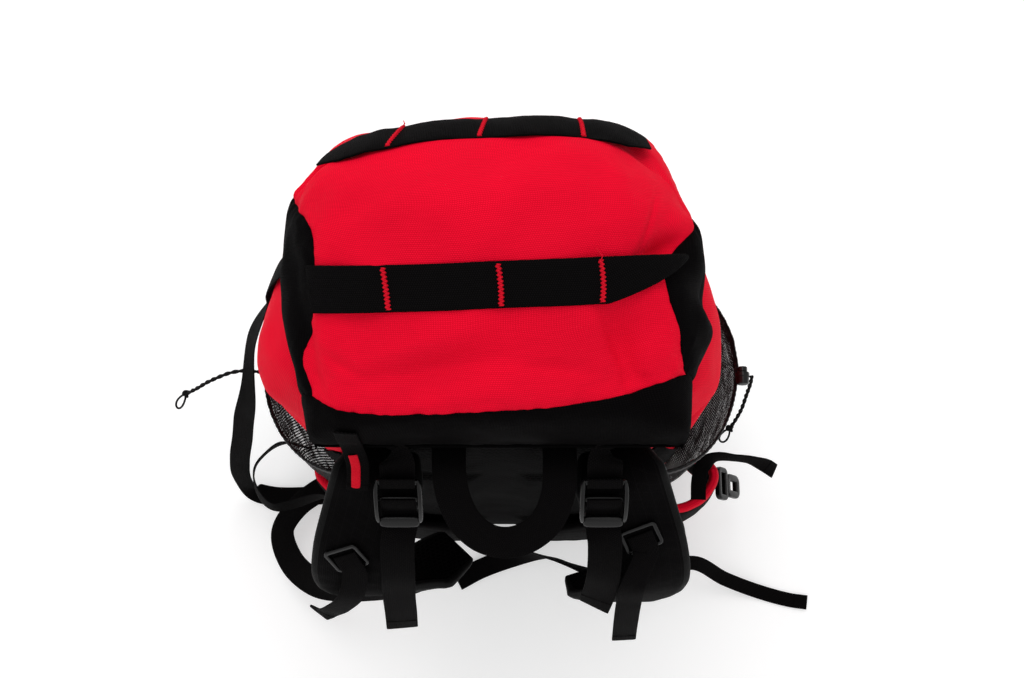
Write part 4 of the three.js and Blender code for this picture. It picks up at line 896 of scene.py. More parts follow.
def block_rings(centre: Grid, axes: Sequence[Grid], half: Sequence[float], power: float = 0.35, sides: int = 20, count: int = 11) -> Grid:
    """Rings of a rounded block, a superellipsoid along its first axis.

    Args:
        centre: its middle.
        axes: its three directions.
        half: half its size along each.
        power: roundness of its edges, small for sharp ones.
        sides: points of a ring.
        count: number of rings.

    Returns:
        The rings, which close to small ones at both ends.
    """
    angle = np.linspace(-math.pi / 2 * 0.995, math.pi / 2 * 0.995, count)
    along = np.sign(angle) * np.abs(np.sin(angle)) ** power
    fill = np.abs(np.cos(angle)) ** power
    across, up = superellipse(sides, power)
    x, y, z = (unit(np.asarray(axis, float)) for axis in axes)
    return (
        np.asarray(centre, float)
        + (along * half[0])[:, None, None] * x
        + (fill[:, None] * across * half[1])[..., None] * y
        + (fill[:, None] * up * half[2])[..., None] * z
    )


def tube_rings(points: Grid, radius: Grid | float, sides: int = 10) -> tuple[Grid, Grid]:
    """Rings of a round cord along a line of points.

    Each ring lies square to the line, and its directions are carried on from ring to ring by
    crossing with a direction that the line nowhere follows.

    Args:
        points: the line.
        radius: of the cord, at each point or all along.
        sides: points of a ring.

    Returns:
        The rings and the place of each point on the cord.
    """
    along = unit(np.gradient(points, axis=0))
    spread = np.linalg.svd(points - points.mean(axis=0), full_matrices=True)[2][-1]
    first = unit(np.cross(along, spread))
    second = np.cross(along, first)
    angle = 2 * math.pi * np.arange(sides) / sides
    size = np.broadcast_to(np.asarray(radius, float), (len(points),))[:, None, None]
    rings = points[:, None] + size * (np.cos(angle)[:, None] * first[:, None] + np.sin(angle)[:, None] * second[:, None])
    length = np.concatenate([[0], np.cumsum(np.linalg.norm(np.diff(points, axis=0), axis=1))])
    uv = np.stack(np.broadcast_arrays(length[:, None], (angle * np.mean(radius))[None]), axis=-1)
    return rings, uv




class Texture(Enum):
    """The small relief that a finish shows."""

    WEAVE = "weave"
    RIPSTOP = "ripstop"
    RIBS = "ribs"
    HOLES = "holes"
    GRAIN = "grain"
    THREAD = "thread"


Value = bpy.types.NodeSocket | float


class Tree:
    """Nodes of a material or of a shared effect, while it is being built."""

    def __init__(self, tree: bpy.types.NodeTree) -> None:
        """Starts with an empty tree."""
        self.tree = tree
        tree.nodes.clear()

    def node(self, kind: str, inputs: dict[str | int, object] | None = None, **settings: object) -> bpy.types.Node:
        """Adds a node.

        Args:
            kind: its type.
            inputs: values or sockets for its inputs.
            settings: its own properties.

        Returns:
            The node.
        """
        node = self.tree.nodes.new(kind)
        node.location = (200 * (len(self.tree.nodes) % 8), -220 * (len(self.tree.nodes) // 8))
        for key, value in settings.items():
            setattr(node, key, value)
        for key, value in (inputs or {}).items():
            if isinstance(value, bpy.types.NodeSocket):
                self.tree.links.new(value, node.inputs[key])
            else:
                node.inputs[key].default_value = value
        return node

    def math(self, operation: str, *values: Value) -> bpy.types.NodeSocket:
        """The result of one sum."""
        inputs = dict(enumerate(values))
        return self.node("ShaderNodeMath", inputs, operation=operation).outputs[0]

    def shades(self, share: Value, low: Sequence[float], high: Sequence[float]) -> bpy.types.NodeSocket:
        """A colour between two others."""
        inputs = {0: share, 6: (*low, 1), 7: (*high, 1)}
        return self.node("ShaderNodeMix", inputs, data_type="RGBA").outputs[2]


class Effects:
    """The node groups that the finishes share, each built once."""

    def __init__(self) -> None:
        """Builds every effect."""
        self.groups = {
            Texture.WEAVE: self._weave(),
            Texture.RIPSTOP: self._ripstop(),
            Texture.RIBS: self._ribs(),
            Texture.HOLES: self._holes(),
            Texture.GRAIN: self._grain(),
            Texture.THREAD: self._thread(),
        }
        self.wear = self._wear()

    @staticmethod
    def _start(name: str) -> tuple[bpy.types.NodeTree, Tree, bpy.types.Node]:
        """An empty effect with a place, two pitches and the outputs that a finish reads."""
        group = bpy.data.node_groups.new(name, "ShaderNodeTree")
        group.interface.new_socket(name="Place", in_out="INPUT", socket_type="NodeSocketVector")
        for pitch in ("Pitch Along", "Pitch Across"):
            group.interface.new_socket(name=pitch, in_out="INPUT", socket_type="NodeSocketFloat")
        # Thread is 1 on the tops of the threads and falls to 0 in the pits, grooves and holes, where the finish paints
        # its darker colour as painted shade
        for output in ("Height", "Thread", "Solid"):
            group.interface.new_socket(name=output, in_out="OUTPUT", socket_type="NodeSocketFloat")
        tree = Tree(group)
        return group, tree, tree.node("NodeGroupInput")

    @staticmethod
    def _finish(tree: Tree, height: Value, thread: Value, solid: Value = 1.0) -> None:
        """Gives the effect its outputs."""
        tree.node("NodeGroupOutput", {"Height": height, "Thread": thread, "Solid": solid})

    @staticmethod
    def _cells(tree: Tree, start: bpy.types.Node, shift: float) -> tuple[bpy.types.NodeSocket, ...]:
        """The place inside each cell of a brick pattern, both ways from 0 to 1, and the row's number."""
        split = tree.node("ShaderNodeSeparateXYZ", {0: start.outputs["Place"]})
        along = tree.math("DIVIDE", split.outputs[0], start.outputs["Pitch Along"])
        across = tree.math("DIVIDE", split.outputs[1], start.outputs["Pitch Across"])
        row = tree.math("FLOOR", across)
        moved = tree.math("MULTIPLY_ADD", row, shift, along)
        return tree.math("FRACT", moved), tree.math("FRACT", across), moved, across

    @classmethod
    def _weave(cls) -> bpy.types.NodeTree:
        """Plain weave: a round hump in every cell of a brick pattern, uneven from thread to thread."""
        group, tree, start = cls._start("plain_weave")
        x, y, along, across = cls._cells(tree, start, 0.5)
        hump_x = tree.math("SINE", tree.math("MULTIPLY", x, math.pi))
        hump_y = tree.math("SINE", tree.math("MULTIPLY", y, math.pi))
        hump = tree.math("POWER", tree.math("MULTIPLY", hump_x, hump_y), 0.6)
        scaled = tree.node("ShaderNodeCombineXYZ", {0: tree.math("MULTIPLY", along, 0.11), 1: across})
        uneven = tree.node("ShaderNodeTexNoise", {"Vector": scaled.outputs[0], "Scale": 0.9, "Detail": 3.0})
        height = tree.math("MULTIPLY", hump, tree.math("MULTIPLY_ADD", uneven.outputs[0], 0.9, 0.5))
        cls._finish(tree, height, height)
        return group

    @classmethod
    def _ripstop(cls) -> bpy.types.NodeTree:
        """Fine plain weave with a raised thread along every sixth row and column."""
        group, tree, start = cls._start("ripstop_weave")
        x, y, along, across = cls._cells(tree, start, 0.5)
        hump_x = tree.math("SINE", tree.math("MULTIPLY", x, math.pi))
        hump_y = tree.math("SINE", tree.math("MULTIPLY", y, math.pi))
        hump = tree.math("MULTIPLY", hump_x, hump_y)
        lines = [tree.math("LESS_THAN", tree.math("FRACT", tree.math("DIVIDE", v, 6.0)), 0.14) for v in (along, across)]
        grid = tree.math("MAXIMUM", *lines)
        height = tree.math("MULTIPLY_ADD", grid, 0.8, tree.math("MULTIPLY", hump, 0.7))
        cls._finish(tree, height, tree.math("MULTIPLY_ADD", grid, 0.35, tree.math("MULTIPLY", hump, 0.65)))
        return group

    @classmethod
    def _ribs(cls) -> bpy.types.NodeTree:
        """Webbing: a fine rib across for every pick, cut by the lines between the warp ends."""
        group, tree, start = cls._start("webbing_ribs")
        x, y, along, across = cls._cells(tree, start, 0.5)
        rib = tree.math("SINE", tree.math("MULTIPLY", x, math.pi))
        end = tree.math("POWER", tree.math("SINE", tree.math("MULTIPLY", y, math.pi)), 0.5)
        scaled = tree.node("ShaderNodeCombineXYZ", {0: tree.math("MULTIPLY", along, 0.35), 1: across})
        uneven = tree.node("ShaderNodeTexNoise", {"Vector": scaled.outputs[0], "Scale": 0.7, "Detail": 2.0})
        height = tree.math("MULTIPLY", tree.math("MULTIPLY", rib, end), tree.math("ADD", uneven.outputs[0], 0.5))
        cls._finish(tree, height, height)
        return group

    @classmethod
    def _holes(cls) -> bpy.types.NodeTree:
        """Knitted mesh: round holes in a brick pattern, open where the solid mask is 0."""
        group, tree, start = cls._start("knitted_holes")
        x, y, _, _ = cls._cells(tree, start, 0.5)
        parts = [tree.math("POWER", tree.math("MULTIPLY", tree.math("SUBTRACT", v, 0.5), 2.0), 2.0) for v in (x, y)]
        reach = tree.math("SQRT", tree.math("ADD", *parts))
        # The yarn mask falls to 0 towards the middle of each hole, where the finish paints shade into the hole when it
        # is not open
        yarn = tree.node("ShaderNodeMapRange", {0: reach, 1: 0.5, 2: 0.85}, interpolation_type="SMOOTHSTEP").outputs[0]
        solid = tree.math("GREATER_THAN", reach, 0.58)
        cls._finish(tree, yarn, yarn, solid)
        return group

    @classmethod
    def _grain(cls) -> bpy.types.NodeTree:
        """Moulded plastic: fine cloudy grain."""
        group, tree, start = cls._start("moulded_grain")
        size = tree.math("DIVIDE", 1.0, start.outputs["Pitch Along"])
        cloud = tree.node("ShaderNodeTexNoise", {"Vector": start.outputs["Place"], "Scale": size, "Detail": 4.0})
        cls._finish(tree, cloud.outputs[0], cloud.outputs[0])
        return group

    @classmethod
    def _thread(cls) -> bpy.types.NodeTree:
        """Twisted thread and braid: slanting ridges that run across each other."""
        group, tree, start = cls._start("braided_thread")
        _, _, along, across = cls._cells(tree, start, 0.0)
        slants = []
        for turn in (1.0, -1.0):
            angle = tree.math("MULTIPLY", tree.math("MULTIPLY_ADD", across, turn, along), 2 * math.pi)
            slants.append(tree.math("MULTIPLY_ADD", tree.math("SINE", angle), 0.5, 0.5))
        height = tree.math("MAXIMUM", *slants)
        cls._finish(tree, height, height)
        return group

    @staticmethod
    def _wear() -> bpy.types.NodeTree:
        """Use: broad cloudy fading and small creases, over the whole piece."""
        group = bpy.data.node_groups.new("cloth_wear", "ShaderNodeTree")
        group.interface.new_socket(name="Place", in_out="INPUT", socket_type="NodeSocketVector")
        group.interface.new_socket(name="Size", in_out="INPUT", socket_type="NodeSocketFloat")
        for output in ("Fade", "Crease", "Dust"):
            group.interface.new_socket(name=output, in_out="OUTPUT", socket_type="NodeSocketFloat")
        tree = Tree(group)
        start = tree.node("NodeGroupInput")
        place, scale = start.outputs["Place"], tree.math("DIVIDE", 1.0, start.outputs["Size"])
        cloud = tree.node("ShaderNodeTexNoise", {"Vector": place, "Scale": scale, "Detail": 3.0})
        fade = tree.node("ShaderNodeMapRange", {0: cloud.outputs[0], 1: 0.3, 2: 0.7}).outputs[0]
        finer = tree.math("MULTIPLY", scale, 2.2)
        crease = tree.node(
            "ShaderNodeTexNoise",
            {"Vector": place, "Scale": finer, "Detail": 4.0, "Roughness": 0.45, "Distortion": 0.6},
        )
        speck = tree.node("ShaderNodeTexNoise", {"Vector": place, "Scale": tree.math("MULTIPLY", scale, 60.0), "Detail": 2.0})
        dust = tree.node("ShaderNodeMapRange", {0: speck.outputs[0], 1: 0.7, 2: 0.8}).outputs[0]
        tree.node("NodeGroupOutput", {"Fade": fade, "Crease": crease.outputs[0], "Dust": dust})
        return group


@dataclass(frozen=True)
class Finish:
    """What a piece is made of: its colours, its relief and how it takes the light."""

    name: str
    texture: Texture
    colour: tuple[float, float, float]
    # The second colour is painted shade, for the pits between the threads, the grooves and the holes
    pit_shade: tuple[float, float, float]
    pitch: tuple[float, float]
    relief: float
    roughness: float
    sheen: float = 0.0
    crease: float = 0.0
    fade: float = 0.12
    open_holes: bool = False
    gloss: float = 0.35

    def material(self, effects: Effects) -> bpy.types.Material:
        """Builds the finish as a material.

        The texture's thread mask mixes the two colours, the darker one as painted shade in the pits
        between the threads, and its height lifts the surface, over broader creases; the wear fades the
        colour and dulls the gloss.

        Args:
            effects: the shared node groups.

        Returns:
            The material.
        """
        material = bpy.data.materials.new(self.name)
        material.use_nodes = True
        tree = Tree(material.node_tree)
        place = tree.node("ShaderNodeTexCoord").outputs["Object"]
        cloth = place if self.texture is Texture.GRAIN else tree.node("ShaderNodeUVMap", uv_map="cloth").outputs[0]
        pattern = tree.node("ShaderNodeGroup", node_tree=effects.groups[self.texture])
        tree.tree.links.new(cloth, pattern.inputs["Place"])
        pattern.inputs["Pitch Along"].default_value = self.pitch[0]
        pattern.inputs["Pitch Across"].default_value = self.pitch[1]
        wear = tree.node("ShaderNodeGroup", node_tree=effects.wear)
        tree.tree.links.new(place, wear.inputs["Place"])
        wear.inputs["Size"].default_value = 0.09
        # The thread tops take the first colour and the pits between them the second: painted shade in the pits
        woven_with_pit_shade = tree.shades(pattern.outputs["Thread"], self.pit_shade, self.colour)
        faded = tree.node(
            "ShaderNodeHueSaturation",
            {"Color": woven_with_pit_shade, "Value": tree.math("MULTIPLY_ADD", wear.outputs["Fade"], self.fade, 1 - self.fade / 2)},
        )
        dulled = tree.math("MULTIPLY_ADD", wear.outputs["Fade"], 0.12, self.roughness - 0.06)
        broad = tree.node("ShaderNodeBump", {"Height": wear.outputs["Crease"], "Distance": max(self.crease, 1e-5)})
        fine = tree.node(
            "ShaderNodeBump",
            {"Height": pattern.outputs["Height"], "Distance": self.relief, "Normal": broad.outputs[0]},
        )
        shader = tree.node(
            "ShaderNodeBsdfPrincipled",
            {"Base Color": faded.outputs[0], "Roughness": dulled, "Normal": fine.outputs[0]},
        )
        shader.inputs["Specular IOR Level"].default_value = self.gloss
        shader.inputs["Sheen Weight"].default_value = self.sheen
        shader.inputs["Sheen Roughness"].default_value = 0.45
        if self.open_holes:
            tree.tree.links.new(pattern.outputs["Solid"], shader.inputs["Alpha"])
        tree.node("ShaderNodeOutputMaterial", {"Surface": shader.outputs[0]})
        return material


class Wardrobe:
    """Every finish of the backpack."""

    # Each finish's second colour is painted shade for the pits, grooves and holes of its texture
    red = Finish("red_cloth", Texture.WEAVE, (0.93, 0.0045, 0.032), (0.60, 0.0012, 0.014), (1.7 * MM, 1.4 * MM), 0.2 * MM, 0.7, 0.0, 1.3 * MM, 0.12, gloss=0.03)
    black = Finish("black_cloth", Texture.WEAVE, (0.0034, 0.0028, 0.0031), (0.0006, 0.0005, 0.0005), (2.0 * MM, 1.6 * MM), 0.25 * MM, 0.8, 0.0, 1.2 * MM, 0.3, gloss=0.02)
    lining = Finish("black_lining", Texture.RIPSTOP, (0.0028, 0.0024, 0.0026), (0.0008, 0.0008, 0.0008), (1.2 * MM, 1.2 * MM), 0.12 * MM, 0.8, 0.0, 0.8 * MM, 0.25, gloss=0.02)
    pad = Finish("pad_cloth", Texture.RIPSTOP, (0.0036, 0.003, 0.0033), (0.001, 0.0008, 0.0009), (1.5 * MM, 1.5 * MM), 0.2 * MM, 0.75, 0.0, 1.0 * MM, 0.25, gloss=0.03)
    spacer = Finish("spacer_mesh", Texture.HOLES, (0.0026, 0.0023, 0.0025), (0.0001, 0.0001, 0.0001), (5.0 * MM, 4.2 * MM), 0.9 * MM, 0.8, 0.0, 0.5 * MM, 0.25, gloss=0.02)
    pocket = Finish("pocket_mesh", Texture.HOLES, (0.009, 0.0082, 0.0088), (0.003, 0.0027, 0.003), (3.2 * MM, 2.8 * MM), 0.4 * MM, 0.6, 0.0, 0.8 * MM, 0.25, open_holes=True, gloss=0.1)
    webbing = Finish("webbing", Texture.RIBS, (0.0046, 0.0039, 0.0042), (0.0006, 0.0005, 0.0005), (1.7 * MM, 1.5 * MM), 0.35 * MM, 0.75, 0.0, 0.5 * MM, 0.3, gloss=0.03)
    binding = Finish("binding_tape", Texture.RIBS, (0.0046, 0.0042, 0.0044), (0.001, 0.001, 0.001), (1.3 * MM, 1.1 * MM), 0.2 * MM, 0.65, 0.0, 0.4 * MM, 0.2, gloss=0.08)
    elastic = Finish("hem_elastic", Texture.RIBS, (0.018, 0.017, 0.018), (0.004, 0.004, 0.004), (2.2 * MM, 1.1 * MM), 0.3 * MM, 0.45, 0.0, 0.4 * MM, 0.2, gloss=0.25)
    trim = Finish("red_trim", Texture.WEAVE, (0.80, 0.0035, 0.026), (0.45, 0.0012, 0.012), (1.6 * MM, 1.2 * MM), 0.15 * MM, 0.65, 0.0, 0.5 * MM, 0.12, gloss=0.04)
    stitch = Finish("red_thread", Texture.THREAD, (0.85, 0.006, 0.026), (0.42, 0.002, 0.010), (1.0 * MM, 1.2 * MM), 0.25 * MM, 0.6, 0.0, 0.0, 0.1, gloss=0.08)
    cord = Finish("elastic_cord", Texture.THREAD, (0.006, 0.0055, 0.006), (0.0012, 0.0012, 0.0012), (1.6 * MM, 1.6 * MM), 0.25 * MM, 0.6, 0.0, 0.0, 0.2, gloss=0.1)
    plastic = Finish("black_plastic", Texture.GRAIN, (0.0026, 0.0022, 0.0024), (0.0016, 0.0016, 0.0016), (0.8 * MM, 0.8 * MM), 0.02 * MM, 0.26, 0.0, 0.0, 0.15, gloss=0.28)

    def __init__(self) -> None:
        """Builds the shared effects."""
        self.effects = Effects()
        self.made: dict[str, bpy.types.Material] = {}

    def of(self, finish: Finish) -> bpy.types.Material:
        """The material of a finish, built once."""
        if finish.name not in self.made:
            self.made[finish.name] = finish.material(self.effects)
        return self.made[finish.name]


@dataclass(frozen=True)
class Creases:
    """Soft wrinkles of a piece of cloth, stronger along its sewn edges."""

    seed: int
    size: float = 70 * MM
    height: float = 1.2 * MM
    pucker: float = 0.7 * MM
    pucker_size: float = 20 * MM
    pucker_reach: float = 13 * MM
    tuck: float = 1.4 * MM
    tuck_reach: float = 4 * MM

    def lift(self, points: Grid) -> Grid:
        """How far the cloth stands out at each point of its grid.

        Broad creases everywhere, short puckers that fade away from the edges, and a tuck that
        pulls the very edge in.

        Args:
            points: the smooth grid.

        Returns:
            The height at each point.
        """
        apart = edge_distance(points)
        broad = crumple(points, self.seed, self.size, self.height)
        short = crumple(points, self.seed + 1, self.pucker_size, self.pucker) * np.exp(-apart / self.pucker_reach)
        held = smooth(0, 3 * self.tuck_reach, apart)
        return broad * held + short - self.tuck * np.exp(-apart / self.tuck_reach)


def panel_grids(
    surface: Surface,
    place: Callable[[Grid, Grid], tuple[Grid, Grid]],
    steps: tuple[int, int],
    low: float,
    high: float | Grid,
    creases: Creases | None = None,
    floor: float = -1.0,
    gap: float = SEAM_GAP,
) -> tuple[Grid, Grid]:
    """The two sides of a cloth panel on a surface.

    Each point is the surface's point at its place, moved along the outward direction by its lift
    and its creases; the edges keep half the seam's gap.

    Args:
        surface: what the panel lies on.
        place: gives the surface's parameters for shares of the panel.
        steps: how many cells the panel has each way.
        low: lift of its inner side.
        high: lift of its outer side.
        creases: its wrinkles, or none.
        floor: the height that nothing goes below.
        gap: the seam's gap.

    Returns:
        The outer and the inner grid.
    """
    s, t = np.meshgrid(np.linspace(0, 1, steps[0] + 1), np.linspace(0, 1, steps[1] + 1), indexing="ij")
    a, b = (np.array(v, float) for v in np.broadcast_arrays(*place(s, t)))
    in_a, in_b = np.zeros_like(a), np.zeros_like(b)
    in_a[0], in_a[-1] = gap / 2, -gap / 2
    in_b[:, 0], in_b[:, -1] = gap / 2, -gap / 2
    a = a + in_a / np.linalg.norm(slope_across(surface, a, b), axis=-1)
    b = b + in_b / np.linalg.norm(slope_up(surface, a, b), axis=-1)
    base, out = surface(a, b), outward(surface, a, b)
    lift = 0.0 if creases is None else creases.lift(base)
    outer = base + out * np.asarray(high + lift)[..., None]
    inner = base + out * np.asarray(low + lift)[..., None]
    for side in (outer, inner):
        side[..., 2] = np.maximum(side[..., 2], floor)
    return outer, inner


def dress(piece: bpy.types.Object, *nodes: str) -> bpy.types.Object:
    """Fixes a finished piece to the bag in place of its plain solids, and reports it.

    Args:
        piece: the finished piece.
        nodes: the plain solids that it replaces.

    Returns:
        The piece.
    """
    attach(piece, "root")
    if nodes:
        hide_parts(*nodes)
    LOG.info("%s: %d faces", piece.name, len(piece.data.polygons))
    return piece


@dataclass
class Bag:
    """The body of the bag: base, red panels, padded back and the gathered collar."""

    wardrobe: Wardrobe
    front_steps: tuple[int, int] = (120, 120)
    side_steps: tuple[int, int] = (90, 130)
    back_steps: tuple[int, int] = (120, 130)
    pad_groove: float = 4.5 * MM

    def _wall(self, name: str, start: float, end: float, steps: tuple[int, int], creases: Creases) -> None:
        """Makes one red panel between two seams."""
        floor = BASE_CLOTH + SEAM_GAP

        def place(s: Grid, t: Grid) -> tuple[Grid, Grid]:
            """Turns from seam to seam, rises from the base to the top."""
            return lerp(start, end, s), t

        maker = MeshMaker(name + "_cloth")
        maker.shell(*panel_grids(body_point, place, steps, -CLOTH, 0, creases, floor))
        dress(maker.build(self.wardrobe.of(Wardrobe.red)), name)

    def _padding(self, s: Grid, t: Grid) -> Grid:
        """How far the padded back stands out at shares across and up.

        Two tall cushions with a channel between them and a band across the lumbar region, each
        edge a smooth rise.

        Args:
            s: shares across.
            t: shares up.

        Returns:
            The lift.
        """
        channel = smooth(0.06, 0.13, np.abs(s - 0.5))
        split = np.minimum(smooth(0.012, 0.04, np.abs(t - 0.33)), smooth(0.012, 0.04, np.abs(t - 0.68)))
        edge = smooth(0.0, 0.09, np.minimum(s, 1 - s)) * smooth(0.0, 0.05, np.minimum(t, 1 - t))
        cushion = np.minimum(channel, split) * edge
        return BACK_PAD - CLOTH + self.pad_groove * (cushion - 1) * 0.9

    def _back(self) -> None:
        """Makes the padded back panel."""
        padding_gap = 0.8 * MM / (math.pi * BODY_WIDTH)
        start, end = SEAM_LEFT_BACK + padding_gap, 1 + SEAM_RIGHT_BACK - padding_gap

        def place(s: Grid, t: Grid) -> tuple[Grid, Grid]:
            """Turns from seam to seam, rises from the base to the top."""
            return lerp(start, end, s), t

        shares = [np.linspace(0, 1, n + 1) for n in self.back_steps]
        high = self._padding(*np.meshgrid(*shares, indexing="ij"))
        creases = Creases(31, height=0.4 * MM, pucker=0.3 * MM, tuck=0.6 * MM)
        maker = MeshMaker("back_padding")
        floor = BASE_CLOTH + SEAM_GAP
        maker.shell(*panel_grids(body_point, place, self.back_steps, -CLOTH, high, creases, floor))
        piece = dress(maker.build(self.wardrobe.of(Wardrobe.spacer)), "back_panel")

    def _base(self) -> None:
        """Makes the base: the outline of the bag shrunk to its middle along a square grid."""
        u = np.linspace(-1, 1, 49)
        x, y = np.meshgrid(u, u, indexing="ij")
        size = np.maximum(np.abs(x), np.abs(y))
        rim = body_point(np.arctan2(y, x) / (2 * math.pi), 0.0 * x)
        under = rim * size[..., None]
        under[..., 2] = 0.0
        over = under.copy()
        over[..., 2] = BASE_CLOTH
        maker = MeshMaker("base_cloth")
        maker.shell(over, under)
        dress(maker.build(self.wardrobe.of(Wardrobe.black)), "base_panel")

    def _collar(self) -> None:
        """Makes the gathered collar: the rim drawn in to the throat, with waves round it."""
        s, t = np.meshgrid(np.linspace(0.25, 1.25, 40 * GATHERS + 1), np.linspace(0, 1, 25), indexing="ij")

        def surface(turn: Grid, share: Grid) -> Grid:
            """The collar's outside: rim to throat, lifted by the gathers' cosine."""
            rim = body_point(turn, np.ones_like(turn))
            angle = turn * 2 * math.pi
            c, n = np.cos(angle), np.sin(angle)
            pull = np.clip(share, 0, 1) ** 0.8
            x = lerp(rim[..., 0], THROAT_WIDTH / 2 * c, pull) - CLOTH * (1 - share) * c
            y = lerp(rim[..., 1], THROAT_DEPTH / 2 * n, pull) - CLOTH * (1 - share) * n
            gather = GATHER_DEPTH * np.sin(math.pi * share) * np.cos(GATHERS * angle)
            height = lerp(BODY_HEIGHT + CLOTH + SEAM_GAP, BODY_HEIGHT + COLLAR_HEIGHT, np.clip(share, 0, 1) ** 1.3)
            return np.stack([x, y, height + gather], axis=-1)

        base, out = surface(s, t), outward(surface, s, t)
        base[-1], out[-1] = base[0], out[0]
        maker = MeshMaker("collar_cloth")
        maker.shell(base, base - out * CLOTH)
        dress(maker.build(self.wardrobe.of(Wardrobe.lining)), "collar")

    def build(self) -> None:
        """Makes every piece of the body."""
        self._base()
        front = Creases(11, size=120 * MM, height=2.0 * MM)
        self._wall("front_panel", SEAM_RIGHT_FRONT, SEAM_LEFT_FRONT, self.front_steps, front)
        side = Creases(12, size=80 * MM, height=1.8 * MM)
        self._wall("side_panel_right", SEAM_RIGHT_BACK, SEAM_RIGHT_FRONT, self.side_steps, side)
        side = Creases(13, size=80 * MM, height=1.8 * MM)
        self._wall("side_panel_left", SEAM_LEFT_FRONT, SEAM_LEFT_BACK, self.side_steps, side)
        self._back()
        self._collar()


@dataclass(frozen=True)
class Ribbon:
    """How a strip lies across the lid, between two shares across."""

    start: float
    end: float
    middle: float
    bow: float
    slant: float
    first: float
    last: float
    reach: float
    cut: float

    def share_of(self, side: Grid) -> Grid:
        """The share along the strip of a share across the lid."""
        return (side - self.start) / (self.end - self.start)

    def place(self, s: Grid, t: Grid) -> tuple[Grid, Grid]:
        """Shares of the lid for shares along the strip and across it.

        The middle runs as a square with a slant. The width narrows in straight lines to its
        shares first and last, and cut moves the narrowed end to its farther edge.

        Args:
            s: shares along the strip.
            t: shares across it.

        Returns:
            The shares across and over the lid.
        """
        side = lerp(self.start, self.end, s)
        along = 2 * s - 1
        over = self.middle + self.bow * along**2 + self.slant * along
        narrowed = np.minimum.reduce([np.ones_like(s), lerp(self.first, 1, 8 * s), lerp(self.last, 1, (1 - s) / self.reach)])
        offset = (t - 0.5) * narrowed + self.cut * (1 - narrowed) / 2
        slope = np.linalg.norm(slope_up(lid_point, side, np.full(side.shape, self.middle)), axis=-1)
        return side, over + DAISY_WIDTH * offset / slope


NEAR_STRIP = Ribbon(-0.54, 0.57, 0.377, 0.026, 0.0, 1.0, 0.08, 0.3, 1.0)
FAR_STRIP = Ribbon(-0.56, 0.575, 0.717, -0.02, 0.014, 0.4, 0.4, 0.125, 0.0)


